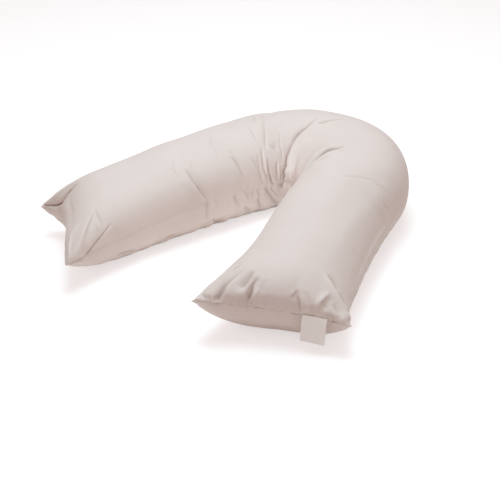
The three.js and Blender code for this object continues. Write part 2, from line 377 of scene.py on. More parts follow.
@dataclass(frozen=True)
class Fold:
    """A crease or ridge in the cloth, in millimetres.

    Attributes:
        path: Points of its line, in pixels or on the form.
        depth: How deep the cloth goes in, or stands up where it is negative.
        soft: How far the gentle side reaches.
        steep: How far the steep side, on the right of the path, reaches.
        lip: How high the cloth stands beside the steep side.
        fade: How the fold's strength changes along the path.
        basis: What the path is given in.
    """

    path: tuple[tuple[float, float], ...]
    depth: float
    soft: float
    steep: float
    lip: float = 0.0
    fade: Fade = Fade.BOTH_ENDS
    basis: Basis = Basis.PHOTO

    def placed(self, skin: SeenSkin) -> Fold:
        """Gives the same fold with its path on the form.

        Args:
            skin: The skin as the photo shows it.

        Returns:
            The fold, with its path in millimetres along the spine and degrees round the girth.
        """
        if self.basis is Basis.FORM:
            return self
        return replace(self, path=tuple(skin.place(pixel) for pixel in self.path), basis=Basis.FORM)

    def line(self, form: PillowForm, samples: int = 72) -> np.ndarray:
        """Samples the fold's line on the skin as one smooth curve.

        Args:
            form: The pillow's smooth form.
            samples: Number of points.

        Returns:
            Points along the line.
        """
        knots = np.array(self.path, dtype=float)
        knots = np.vstack([2 * knots[0] - knots[1], knots, 2 * knots[-1] - knots[-2]])
        t = np.linspace(0, len(self.path) - 1, samples)
        i = np.minimum(t.astype(int), len(self.path) - 2)
        u = (t - i)[:, None]
        a, b, c, d = knots[i], knots[i + 1], knots[i + 2], knots[i + 3]
        bend = (2 * a - 5 * b + 4 * c - d) * u**2 + (3 * b - a - 3 * c + d) * u**3
        spot = 0.5 * (2 * b + (c - a) * u + bend)
        return form.skin(np.clip(spot[:, 0], 0, form.length), spot[:, 1])[0]

    def strength(self, share: np.ndarray) -> np.ndarray:
        """Gives the fold's strength at shares of its length."""
        if self.fade is Fade.TO_END:
            return 1 - share**2
        if self.fade is Fade.BOTH_ENDS:
            return np.sin(np.pi * np.clip(share, 0, 1)) ** 0.7
        return np.ones_like(share)

    def measure(self, form: PillowForm, points: np.ndarray, reach: float) -> tuple[np.ndarray, ...]:
        """Measures points near the fold's line.

        Args:
            form: The pillow's smooth form.
            points: Points of the smooth skin.
            reach: How far from the line to look.

        Returns:
            Indices of the near points, their gap to the line, the vector from the line to each, the
            line's direction there and the share of the line's length.
        """
        line = self.line(form)
        close = np.all((points > line.min(0) - reach) & (points < line.max(0) + reach), axis=1)
        which = np.where(close)[0]
        square = ((points[which, None] - line[None]) ** 2).sum(-1)
        nearest = square.argmin(1)
        gap = np.sqrt(square[np.arange(len(which)), nearest])
        run = np.gradient(line, axis=0)
        run /= np.linalg.norm(run, axis=1, keepdims=True) + 1e-9
        return which, gap, points[which] - line[nearest], run[nearest], nearest / (len(line) - 1)

    def marks(
        self, form: PillowForm, points: np.ndarray, normals: np.ndarray, blunt: float
    ) -> tuple[np.ndarray, np.ndarray]:
        """Works out what the fold does to each point.

        Args:
            form: The pillow's smooth form.
            points: Points of the smooth skin.
            normals: Outward directions there.
            blunt: How round the bottom of the fold is: 1 is a sharp crease.

        Returns:
            How far each point moves along its normal, and how deep it lies in the crease's line for its
            painted shade, or below zero how high it lies on the ridge for its painted highlight.
        """
        height, shade = np.zeros(len(points)), np.zeros(len(points))
        which, gap, away, run, share = self.measure(form, points, 4.5 * max(self.soft, self.steep))
        beside = (away * np.cross(run, normals[which])).sum(1)
        side = 0.5 + 0.5 * np.tanh(beside / (0.25 * min(self.soft, self.steep)))
        width = self.soft + (self.steep - self.soft) * side
        groove = np.exp(-((gap / width) ** blunt))
        past_end = np.exp(-np.maximum(gap**2 - beside**2, 0) / self.soft**2)
        over = np.maximum(beside, 0)
        rise = 1 - np.exp(-((over / self.steep) ** 2))
        lip = rise * np.exp(-((over / (2.2 * self.soft)) ** 2)) * past_end
        strength = self.strength(share)
        height[which] = strength * (self.lip * lip - self.depth * groove)
        # How deep in the crease's line a point lies, which sets its painted shade, or below zero its painted
        # highlight.
        shade[which] = strength * self.depth * np.exp(-((gap / (0.6 * width)) ** 2))
        return height, shade


# A row holds a path, depth, soft side, steep side and lip. Paths are in the photo's pixels, unless the row
# says that they are on the form.
BROAD_FOLDS: tuple[Fold, ...] = (
    # Bend.
    Fold(
        ((283, 187), (286.3, 168), (289.5, 151), (296.5, 137), (307, 128), (320, 118.5)),
        2, 12, 8, 2, fade=Fade.TO_END,
    ),
    Fold(((1034, -60), (1016, -52), (1005, -42), (986, -32), (968, -14)), 4, 10, 16, basis=Basis.FORM),
    Fold(((1012, -62), (996, -53), (986, -43), (967, -33), (950, -20)), -8, 16, 10, basis=Basis.FORM),
    Fold(((292, 184), (295, 168), (301, 152), (313, 140)), -9, 13, 13),
    Fold(((645, -2), (655, 18), (662, 34), (668, 50)), 3.5, 16, 12, basis=Basis.FORM),
    # Far arm.
    Fold(((184, 169), (193, 179.5), (201, 191), (207.5, 201.5)), 4, 9, 6, 4),
    Fold(((232, 158.5), (239, 167), (245, 177)), 3, 8, 5, 3),
    # Far end.
    Fold(((4, 49), (15, 36), (45, 30), (75, 27)), 9, 10, 20, fade=Fade.TO_END, basis=Basis.FORM),
    Fold(((109, 226.5), (102, 236), (91, 249.5), (82, 259)), 1.5, 7, 7, 2),
    Fold(((36, 24), (26, 8), (24, -10), (22, -30)), 6.5, 26, 9, basis=Basis.FORM),
    Fold(((74, 258), (79, 246), (86, 228), (94, 208)), -7, 10, 8, fade=Fade.TO_END),
    Fold(((69, 261), (70, 248), (73, 231)), -4, 7, 6, fade=Fade.TO_END),
    # Near end.
    Fold(((219, 301), (221, 291), (228, 281), (247, 268.5)), 11, 11, 9, 2, fade=Fade.TO_END),
    Fold(((239, 291), (244, 283), (253, 271)), 7, 9, 8, 2),
    Fold(((248, 301), (251, 292), (254, 283.5), (259, 277.5)), 9, 9, 7, 3, fade=Fade.TO_END),
    Fold(((203, 293), (214, 283), (230, 272)), -4, 10, 9),
    Fold(((299, 311), (298, 301), (297, 291)), 6, 10, 4, 3, fade=Fade.NONE),
    Fold(((315, 310), (309, 301), (304, 289)), 1.5, 7, 9, 2),
    Fold(((347, 319), (338, 302), (331, 288), (324, 272)), -9, 9, 8, fade=Fade.TO_END),
    Fold(((315, 309), (322, 300), (330, 293)), -6, 9, 8),
    Fold(((328, 311), (326, 305), (330, 297)), 3, 8, 7),
    Fold(((346, 308), (339, 293), (329, 275)), 4, 9, 9, 1),
    # Near arm.
    Fold(((1054, 52), (1149, 47), (1259, 38), (1353, 34), (1440, 33)), -6, 30, 24, basis=Basis.FORM),
    Fold(((1450, 74), (1340, 77), (1225, 78), (1125, 78), (1030, 77)), 6, 24, 11, basis=Basis.FORM),
)

FINE_FOLDS: tuple[Fold, ...] = (
    # Bend.
    Fold(
        ((283, 185.5), (284.8, 178), (286.3, 168), (289.5, 151), (296.5, 137), (307, 128), (320, 118.5)),
        8, 4, 2.2, 1.5, fade=Fade.TO_END,
    ),
    Fold(((292, 144.5), (296.5, 137), (302, 131.5), (307, 128), (320, 118.5)), 6, 8, 2.4, 2),
    Fold(((318, 125), (326, 122), (342, 119.5)), 5, 10, 6, 2),
    Fold(((1115, -61), (1075, -59), (1045, -59)), 2.6, 9, 6, 1.5, basis=Basis.FORM),
    Fold(((303, 173.5), (307, 168.5), (311, 165)), 3.2, 6, 4, 1.5),
    Fold(
        ((1034, -60), (1016, -52), (1005, -42), (986, -32), (976, -22), (968, -13)),
        10, 9, 3, 1.5, basis=Basis.FORM,
    ),
    Fold(((316, 162), (322, 159), (331, 156.5)), 2.5, 7, 5, 1),
    Fold(((337, 151.5), (346, 151.3)), 2, 6, 5, 1),
    Fold(((640, -106), (641, -92), (650, -76)), -6, 14, 14, fade=Fade.NONE, basis=Basis.FORM),
    # Fan beside the bend.
    Fold(((282, 186), (281.3, 182), (280.8, 176)), 3, 3.4, 2.6, 1),
    Fold(((281, 164), (281.3, 150), (281, 132)), 1.8, 5, 3, 0.8),
    Fold(((279.5, 184), (279, 175), (278.5, 165)), -3.2, 3, 3),
    Fold(((278, 184), (277.3, 172), (277, 162)), 4.5, 3.5, 2.6, 0.5),
    Fold(((272.3, 186), (271.5, 179), (269.5, 171), (268, 159)), 7, 4.5, 3, 1, fade=Fade.TO_END),
    Fold(((267.7, 174.5), (266, 167), (265, 156)), -4, 3.5, 3),
    Fold(((264, 186), (261.5, 177), (259.5, 166), (257.5, 153)), 3.6, 4.5, 3.2, 1),
    Fold(((269, 180), (264.5, 170), (262.7, 158), (262, 147)), 4.8, 3.6, 2.2, 1.2),
    Fold(((266, 151), (265.3, 138), (265, 118)), 3.4, 5, 3, 1.5),
    Fold(((269, 144.5), (273, 148), (276.5, 151.5)), 3, 3.4, 3, 1),
    Fold(((274, 141), (275, 146), (276.3, 151.5)), 2.6, 7, 4, 0.6),
    Fold(((254, 118), (254.5, 123)), 2.4, 5, 4, 1),
    Fold(((262, 115), (262.3, 120)), 2.4, 5, 4, 1),
    Fold(((271, 117.5), (278, 113.5)), 2.4, 5, 4, 1),
    Fold(((248, 127), (252, 134), (255.5, 141)), 2.2, 4, 3, 0.8),
    Fold(((250.5, 156), (255, 163), (259, 171)), 2.2, 4, 3, 0.8),
    # Far arm.
    Fold(((185, 170), (189.5, 174.5), (194, 181), (200, 190), (204, 196), (208, 202.5)), 5, 4, 2.4, 2.4),
    Fold(((231, 157.5), (236, 161.5), (240, 168.5), (245.5, 178)), 4, 4, 2.6, 2.4),
    Fold(((229, 150), (234, 156)), 1.6, 4, 3, 0.8),
    Fold(((171, 162), (174, 170), (178, 177)), 1.6, 5, 3, 1),
    Fold(((189, 161), (193, 170)), 1.4, 5, 3, 0.8),
    Fold(((180, 179), (187, 187)), -1.6, 4, 4),
    Fold(((210, 137), (210.5, 148)), 1.4, 5, 3, 0.6),
    Fold(((212.5, 146), (218.5, 158)), 1.3, 4, 3, 0.6),
    # Under the far arm.
    Fold(((207.3, 203), (207.6, 210), (207, 216), (209.5, 222)), 3, 8, 5, 1.2, fade=Fade.TO_END),
    Fold(((234.5, 196), (237, 202), (240, 210)), 3, 8, 5, 1.2, fade=Fade.TO_END),
    Fold(((244, 190.5), (249, 198)), 2.6, 4.5, 4, 0.8, fade=Fade.TO_END),
    Fold(((253, 189.5), (253.5, 199)), 2.6, 4.5, 4, 0.8, fade=Fade.TO_END),
    Fold(((257.5, 190), (262, 198)), 2.6, 6, 4, 1, fade=Fade.TO_END),
    Fold(((258.5, 200), (261, 207)), 4, 6, 4, 1, fade=Fade.NONE),
    Fold(((266, 188.5), (270, 194), (273.5, 199.5), (277, 204)), 3.6, 7, 4, 1.2, fade=Fade.NONE),
    Fold(((549, -92), (562, -97), (588, -107)), 2.8, 4.5, 3.5, 1, fade=Fade.TO_END, basis=Basis.FORM),
    Fold(((214, 220), (217, 223)), 4, 6, 6, fade=Fade.NONE),
    Fold(((246, 207), (250, 212)), 4, 5, 5, fade=Fade.NONE),
    Fold(((86, 255.5), (93.5, 263.5)), -1.6, 3, 3),
    Fold(((108, -112), (130, -117), (154, -118)), 7, 7, 6, basis=Basis.FORM),
    Fold(((238, -119), (255, -120), (272, -119)), 7, 6, 6, basis=Basis.FORM),
    # Far end.
    Fold(((2, 68), (4, 49), (15, 36), (45, 30)), 11, 3, 2, 2, fade=Fade.NONE, basis=Basis.FORM),
    Fold(((38, 31), (55, 29), (84, 25)), 10, 4, 2.2, 2, fade=Fade.TO_END, basis=Basis.FORM),
    Fold(((8, 62), (30, 47), (65, 38), (95, 32)), 2.8, 10, 8, basis=Basis.FORM),
    Fold(((2, 43), (2, 30), (2, 19)), 4, 4, 3, basis=Basis.FORM),
    Fold(((112, 222.5), (102, 236), (91, 249.5), (82, 258.5), (74, 263.5)), 5, 2.4, 2, 1.8),
    Fold(((75, 257), (79.5, 245), (86, 228), (94, 209)), -4.5, 6, 3.5),
    Fold(((85, 240), (90.5, 224), (94, 213)), 2.6, 5, 3.5),
    Fold(((95, 209), (99, 217.5), (104, 225.5)), 3, 4, 3, 2),
    Fold(((95, 222), (99, 231)), -2.4, 4, 3),
    Fold(((69.3, 258), (70.2, 244), (73, 229)), -3.4, 3.2, 3),
    Fold(((72.5, 247), (75, 233), (77, 220)), -2, 4, 4),
    Fold(((71.5, 254), (73.5, 241), (76.5, 228)), 2.4, 4, 3.5),
    Fold(((73, 260), (76, 257.5), (81, 254)), -3, 4, 4),
    # Near end.
    Fold(
        ((218.5, 302), (220, 294), (224.5, 285), (233, 278), (248, 267.5)),
        7.5, 7, 3.6, 2, fade=Fade.TO_END,
    ),
    Fold(((1583, -42), (1583, -20), (1583, 0), (1583, 18)), 1.8, 14, 12, basis=Basis.FORM),
    Fold(((240, 288), (245, 281.5), (252.5, 271.5)), 4.6, 7, 4.5, 1.5),
    Fold(((258, 297), (262, 287), (267, 278)), 1.8, 10, 9.5),
    Fold(((247, 302), (250.7, 293), (253.5, 284), (259, 277)), 6.5, 5, 3, 2.4, fade=Fade.TO_END),
    Fold(((253, 300), (256, 294), (260, 288)), -3, 5, 4),
    Fold(((226, 296), (229, 288), (240, 278)), -2.5, 6, 5),
    Fold(((230, 272.3), (236, 268.5), (243, 264.5)), 3, 5, 4, 1.2),
    Fold(((194, 299), (205.5, 300)), -3, 4, 4),
    Fold(((206, 297.5), (203, 294.5)), 3, 4, 4, fade=Fade.NONE),
    Fold(((210.5, 301), (209, 293.5)), 3.4, 4, 3.5, 0.5, fade=Fade.TO_END),
    Fold(((216.5, 301), (214.5, 295)), 3.4, 4, 3.5, 0.5, fade=Fade.TO_END),
    Fold(((1582, 20), (1573, 19), (1563, 17)), 5, 6, 2.4, 2, fade=Fade.TO_END, basis=Basis.FORM),
    Fold(((289, 298.5), (293.5, 294.5), (297.5, 290.5)), 2, 2.6, 8),
    Fold(((288, 296.5), (293, 292), (297.5, 287.5)), -2.5, 4, 4),
    Fold(((314, 309), (310, 303), (305, 291)), 0.8, 4, 4, 1),
    Fold(((347, 319), (338, 302), (331, 288), (325, 274)), -4.4, 5, 4),
    Fold(((315, 308), (322, 300), (329.5, 293.5)), -3.6, 4.5, 4),
    Fold(((321, 302), (325, 305.5), (327, 309.5)), 1.4, 6, 5),
    Fold(((327, 275), (331, 278.5), (335.5, 284), (337.5, 291)), 2.6, 7, 5, 1),
    Fold(((339, 292), (343, 298), (347, 305)), 3.4, 4.5, 4, 0.8),
    Fold(((333, 304), (338, 314)), 3.4, 4.5, 3.5, 0.8),
    Fold(((1580, 48), (1588, 52)), 5, 4.5, 4, fade=Fade.NONE, basis=Basis.FORM),
    # Near arm.
    Fold(((341, 177), (352, 177.5), (366, 179.5), (380, 183)), 2, 7, 4, 1),
    Fold(((372, 183), (380, 187), (389, 195.5)), 2.4, 6, 4, 1),
    Fold(((382, 197), (390, 205)), 1.8, 5, 4, 0.8),
    Fold(((382, 203), (389, 212)), 1.8, 5, 4, 0.8),
    Fold(((350, 248), (356, 258)), 1.6, 7, 5, 0.8),
)


def read_points(mesh: bpy.types.Mesh) -> np.ndarray:
    """Reads a mesh's points, in metres."""
    points = np.empty(3 * len(mesh.vertices), dtype=np.float32)
    mesh.vertices.foreach_get("co", points)
    return points.reshape(-1, 3).astype(float)


def write_points(mesh: bpy.types.Mesh, points: np.ndarray) -> None:
    """Moves a mesh's points to new places, in metres."""
    mesh.vertices.foreach_set("co", points.astype(np.float32).ravel())
    mesh.update()


def read_normals(mesh: bpy.types.Mesh) -> np.ndarray:
    """Reads a mesh's outward directions at its points."""
    normals = np.empty(3 * len(mesh.vertices), dtype=np.float32)
    mesh.vertex_normals.foreach_get("vector", normals)
    return normals.reshape(-1, 3).astype(float)


def read_layer(mesh: bpy.types.Mesh, name: str) -> np.ndarray:
    """Reads a named layer of one number or one vector for each point."""
    layer = mesh.attributes[name]
    width, key = (3, "vector") if layer.data_type == "FLOAT_VECTOR" else (1, "value")
    values = np.empty(width * len(mesh.vertices), dtype=np.float32)
    layer.data.foreach_get(key, values)
    return values.reshape(-1, width).astype(float).squeeze()


def weigh(piece: bpy.types.Object, name: str, weights: np.ndarray) -> None:
    """Gives a piece a vertex group with one weight for each point."""
    group = piece.vertex_groups.new(name=name)
    for index, weight in enumerate(weights):
        group.add([index], float(weight), "REPLACE")


def add_piece(name: str, mesh: bpy.types.Mesh) -> bpy.types.Object:
    """Links a new object with this mesh to the scene."""
    piece = bpy.data.objects.new(name, mesh)
    bpy.context.collection.objects.link(piece)
    return piece


def keep_as_mesh(piece: bpy.types.Object, modifier: bpy.types.Modifier) -> None:
    """Keeps what a modifier makes as a plain mesh, and removes the modifier.

    Args:
        piece: The object with the modifier.
        modifier: Its only modifier.
    """
    depsgraph = bpy.context.evaluated_depsgraph_get()
    made = bpy.data.meshes.new_from_object(
        piece.evaluated_get(depsgraph), preserve_all_data_layers=True, depsgraph=depsgraph
    )
    piece.modifiers.remove(modifier)
    old, name = piece.data, piece.data.name
    piece.data = made
    bpy.data.meshes.remove(old)
    made.name = name


class Wiring:
    """Adds nodes to a node tree and links them."""

    def __init__(self, tree: bpy.types.NodeTree) -> None:
        """Starts on a tree."""
        self.tree = tree

    def node(
        self, kind: str, inputs: dict[str | int, object] | None = None, **settings: object
    ) -> bpy.types.Node:
        """Adds a node.

        Args:
            kind: The node's type.
            inputs: For each input's name or index, a value or the output to link from.
            settings: The node's own settings.

        Returns:
            The node.
        """
        made = self.tree.nodes.new(kind)
        for name, value in settings.items():
            setattr(made, name, value)
        for name, value in (inputs or {}).items():
            if isinstance(value, bpy.types.NodeSocket):
                self.tree.links.new(value, made.inputs[name])
            else:
                made.inputs[name].default_value = value
        return made

    def math(self, operation: str, *values: object) -> bpy.types.NodeSocket:
        """Adds a math node on values or outputs and gives its output."""
        return self.node("ShaderNodeMath", dict(enumerate(values)), operation=operation).outputs[0]

    def socket(self, name: str, kind: str, value: object = None, output: bool = False) -> None:
        """Adds a named input or output to the tree's own group interface.

        Args:
            name: The socket's name.
            kind: Its type, such as Float or Color.
            value: Its default.
            output: True for an output.
        """
        way = "OUTPUT" if output else "INPUT"
        made = self.tree.interface.new_socket(name=name, in_out=way, socket_type=f"NodeSocket{kind}")
        if value is not None:
            made.default_value = value


@dataclass(frozen=True)
class WeaveGroup:
    """Shader group for a plain weave: thread bumps and uneven threads, from flat places in metres."""

    name: str = "plain_weave"

    def build(self) -> bpy.types.NodeTree:
        """Builds the group, or finds it if it is there.

        Returns:
            The group, with outputs Height and Slub.
        """
        if self.name in bpy.data.node_groups:
            return bpy.data.node_groups[self.name]
        tree = bpy.data.node_groups.new(self.name, "ShaderNodeTree")
        wire = Wiring(tree)
        wire.socket("Place", "Vector")
        wire.socket("Pitch", "Float", 0.0005)
        wire.socket("Slub Size", "Float", 900.0)
        wire.socket("Height", "Float", output=True)
        wire.socket("Slub", "Float", output=True)
        given = wire.node("NodeGroupInput").outputs
        split = wire.node("ShaderNodeSeparateXYZ", {0: given["Place"]}).outputs
        waves = []
        for axis in (0, 1):
            turn = wire.math("DIVIDE", wire.math("MULTIPLY", split[axis], math.pi), given["Pitch"])
            waves.append(wire.math("SINE", turn))
        threads = wire.math("MULTIPLY", *waves)
        streaks = []
        for stretch in ((1, 0.03, 1), (0.03, 1, 1)):
            long = wire.node("ShaderNodeVectorMath", {0: given["Place"], 1: stretch}, operation="MULTIPLY")
            noise = wire.node(
                "ShaderNodeTexNoise",
                {"Vector": long.outputs[0], "Scale": given["Slub Size"], "Detail": 2.0},
            )
            streaks.append(noise.outputs["Fac"])
        slub = wire.math("MULTIPLY", wire.math("ADD", *streaks), 0.5)
        wire.node("NodeGroupOutput", {"Height": threads, "Slub": slub})
        return tree


@dataclass(frozen=True)
class MottleGroup:
    """Shader group for soft uneven colour: two near colours blended by slow noise."""

    name: str = "soft_mottle"

    def build(self) -> bpy.types.NodeTree:
        """Builds the group, or finds it if it is there.

        Returns:
            The group, with the output Color.
        """
        if self.name in bpy.data.node_groups:
            return bpy.data.node_groups[self.name]
        tree = bpy.data.node_groups.new(self.name, "ShaderNodeTree")
        wire = Wiring(tree)
        wire.socket("Place", "Vector")
        wire.socket("Size", "Float", 14.0)
        wire.socket("Light", "Color", (0.8, 0.8, 0.8, 1))
        wire.socket("Dark", "Color", (0.7, 0.7, 0.7, 1))
        wire.socket("Color", "Color", output=True)
        given = wire.node("NodeGroupInput").outputs
        noise = wire.node(
            "ShaderNodeTexNoise",
            {"Vector": given["Place"], "Scale": given["Size"], "Detail": 4.0, "Roughness": 0.55},
        )
        blend = wire.node(
            "ShaderNodeMapRange", {"Value": noise.outputs["Fac"], "From Min": 0.3, "From Max": 0.7}
        ).outputs[0]
        mix = wire.node(
            "ShaderNodeMix", {"Factor": blend, "A": given["Dark"], "B": given["Light"]}, data_type="RGBA"
        )
        wire.node("NodeGroupOutput", {"Color": mix.outputs["Result"]})
        return tree


@dataclass(frozen=True)
class ClothFinish:
    """A woven cloth's finish.

    Attributes:
        name: The material's name.
        light: Colour of the cloth.
        dark: Colour of its slightly darker patches.
        roughness: Roughness of the surface.
        sheen: Weight of the soft edge sheen.
        pitch: Distance between threads, in metres.
        thread: Height of the threads, in metres.
        crumple: Height of the small unevenness of the cloth, in metres.
        flat: Name of the map with the flat places, or empty for object places.
        crease: Name of the layer of painted shade, 1 in the deepest crease, with painted highlight below 0
            on a ridge, or empty. Two more layers with this name's start tell how near the seam is and how
            much painted shade or highlight its line gets.
        painted_crease_shade: Share of the colour that the painted shade of the deepest crease takes away.
    """

    name: str
    light: tuple[float, float, float]
    dark: tuple[float, float, float]
    roughness: float
    sheen: float
    pitch: float
    thread: float
    crumple: float
    flat: str = "flat_panel"
    crease: str = ""
    painted_crease_shade: tuple[float, float, float] = (0.42, 0.5, 0.53)

    def build(self) -> bpy.types.Material:
        """Builds the material.

        Returns:
            The material.
        """
        material = bpy.data.materials.new(self.name)
        material.use_nodes = True
        material.node_tree.nodes.clear()
        wire = Wiring(material.node_tree)
        place = wire.node("ShaderNodeTexCoord").outputs["Object"]
        flat = wire.node("ShaderNodeUVMap", uv_map=self.flat).outputs["UV"] if self.flat else place
        weave = wire.node(
            "ShaderNodeGroup", {"Place": flat, "Pitch": self.pitch}, node_tree=WeaveGroup().build()
        )
        mottle = wire.node(
            "ShaderNodeGroup",
            {"Place": place, "Light": (*self.light, 1), "Dark": (*self.dark, 1)},
            node_tree=MottleGroup().build(),
        )
        small = wire.node(
            "ShaderNodeTexNoise", {"Vector": place, "Scale": 55.0, "Detail": 3.0, "Roughness": 0.5}
        )
        bumps = (
            (small.outputs["Fac"], self.crumple, 1.0),
            (weave.outputs["Slub"], 1.5 * self.thread, 1.0),
            (weave.outputs["Height"], self.thread, 0.6),
        )
        bent: dict[str, object] = {}
        for height, distance, strength in bumps:
            bump = wire.node(
                "ShaderNodeBump", {"Height": height, "Distance": distance, "Strength": strength, **bent}
            )
            bent = {"Normal": bump.outputs["Normal"]}
        colour = mottle.outputs["Color"]
        # Painted shade and painted highlight: the layers multiply the colour down in creases and seam dashes
        # and up on ridges and seam lines.
        if self.crease:
            deep, near, seam_painted_shading = (
                wire.node("ShaderNodeAttribute", attribute_name=self.crease + part).outputs["Fac"]
                for part in ("", "_seam_near", "_seam_tone")
            )
            deep = wire.math("MULTIPLY_ADD", wire.math("MAXIMUM", near, 0.0), seam_painted_shading, deep)
            left = tuple(1 - lost for lost in self.painted_crease_shade)
            shaded = wire.node(
                "ShaderNodeMix",
                {"Factor": deep, "A": colour, "B": (*left, 1)},
                data_type="RGBA",
                blend_type="MULTIPLY",
                clamp_factor=False,
            )
            colour = shaded.outputs["Result"]
        cloth = wire.node(
            "ShaderNodeBsdfPrincipled",
            {
                "Base Color": colour,
                **bent,
                "Roughness": self.roughness,
                "Specular IOR Level": 0.5,
                "Sheen Weight": self.sheen,
                "Sheen Roughness": 0.45,
            },
        )
        wire.node("ShaderNodeOutputMaterial", {"Surface": cloth.outputs["BSDF"]})
        return material


COTTON = ClothFinish(
    name="pillow_cotton",
    light=(0.765, 0.648, 0.604),
    dark=(0.745, 0.628, 0.584),
    roughness=0.7,
    sheen=0.06,
    pitch=0.0006,
    thread=0.00005,
    crumple=0.0006,
    crease="crease",
)
TAPE = ClothFinish(
    name="label_tape",
    light=(0.985, 0.91, 0.885),
    dark=(0.965, 0.89, 0.865),
    roughness=0.6,
    sheen=0.08,
    pitch=0.0005,
    thread=0.00004,
    crumple=0.0002,
)
THREAD = ClothFinish(
    name="seam_thread",
    light=(0.72, 0.655, 0.625),
    dark=(0.7, 0.63, 0.6),
    roughness=0.65,
    sheen=0.15,
    pitch=0.0004,
    thread=0.00003,
    crumple=0.0,
    flat="",
)


@dataclass(frozen=True)
class RowRun:
    """A stretch of the spine with one spacing of mesh rows, in millimetres.

    Attributes:
        until: Distance along the spine where it ends.
        step: Spacing of the rows, which is rounded to fit.
    """

    until: float
    step: float


@dataclass
class SkinGrid:
    """The body's mesh before folds, in millimetres.

    Attributes:
        points: Points of the smooth skin.
        fill: Thickness of the filling at each point.
        along: Distance along the spine of each point.
        loop: Indices of the seam's points in order round the pillow.
        ears: Indices of the four ear tips.
        faces: Corner indices of each face.
        flat: Flat place of each face corner on its cut panel, in metres.
    """

    points: np.ndarray
    fill: np.ndarray
    along: np.ndarray
    loop: np.ndarray
    ears: tuple[int, ...]
    faces: list[tuple[int, ...]]
    flat: list[tuple[float, float]]

    @property
    def on_seam(self) -> np.ndarray:
        """True for each point on the seam."""
        marks = np.zeros(len(self.points), dtype=bool)
        marks[self.loop] = True
        return marks


@dataclass(frozen=True)
class ClothRun:
    """Settings of the cloth simulation that lets the filling press the folded skin out.

    Attributes:
        frames: Steps of the run.
        pressure: Push of the filling.
        stiffness: Stretch stiffness of the cotton.
        bending: Bending stiffness of the cotton.
        hold: How firmly the form is held.
        seam_hold: How firmly the seam is held.
        spare: Largest share of spare cloth, at the gathers.
        kept: Share of the run's move that is kept.
        cap: Farthest that a point may move, in millimetres.
    """

    frames: int = 18
    pressure: float = 5.0
    stiffness: float = 30.0
    bending: float = 0.08
    hold: float = 0.012
    seam_hold: float = 0.35
    spare: float = 0.05
    kept: float = 0.3
    cap: float = 6.0

    def apply_to(self, piece: bpy.types.Object, hold: np.ndarray, spare: np.ndarray) -> np.ndarray:
        """Runs the simulation on a piece, removes it again, and leaves the piece as it was.

        Args:
            piece: The piece to press out.
            hold: How firmly each point is held.
            spare: Share of spare cloth at each point, from 0 to 1.

        Returns:
            The pressed points, in metres.
        """
        weigh(piece, "hold", hold)
        weigh(piece, "no_spare", 1 - spare)
        cloth = piece.modifiers.new("filling", "CLOTH")
        rules = cloth.settings
        rules.quality = 6
        rules.mass = 0.15
        rules.air_damping = 2
        rules.tension_stiffness = rules.compression_stiffness = self.stiffness
        rules.shear_stiffness = 0.4 * self.stiffness
        rules.bending_stiffness = self.bending
        rules.tension_damping = rules.compression_damping = rules.shear_damping = 10
        rules.use_pressure = True
        rules.uniform_pressure_force = self.pressure
        rules.effector_weights.gravity = 0
        rules.vertex_group_mass = "hold"
        rules.pin_stiffness = 1
        rules.shrink_min = -self.spare
        rules.shrink_max = 0
        rules.vertex_group_shrink = "no_spare"
        cloth.collision_settings.use_collision = False
        cloth.collision_settings.use_self_collision = False
        cloth.point_cache.frame_start, cloth.point_cache.frame_end = 1, self.frames
        scene = bpy.context.scene
        for step in range(1, self.frames + 1):
            scene.frame_set(step)
        pressed = read_points(piece.evaluated_get(bpy.context.evaluated_depsgraph_get()).data)
        piece.modifiers.remove(cloth)
        piece.vertex_groups.clear()
        scene.frame_set(1)
        return pressed


@dataclass(frozen=True)
class Ripple:
    """A smooth uneven wave along a length, the same on each run.

    Attributes:
        longest: Longest wave in it, in millimetres.
        shortest: Shortest wave in it, in millimetres.
        seed: Start of its random draws.
        waves: Number of waves that are added.
    """

    longest: float
    shortest: float
    seed: int
    waves: int = 14

    def at(self, along: np.ndarray) -> np.ndarray:
        """Gives the wave's value, mostly between -1 and 1, at distances in millimetres."""
        rng = np.random.default_rng(self.seed)
        length = np.exp(rng.uniform(math.log(self.shortest), math.log(self.longest), self.waves))
        phase = rng.uniform(0, 2 * math.pi, self.waves)
        total = sum(np.sin(2 * math.pi * along / w + p) for w, p in zip(length, phase))
        return total / math.sqrt(2 * self.waves)


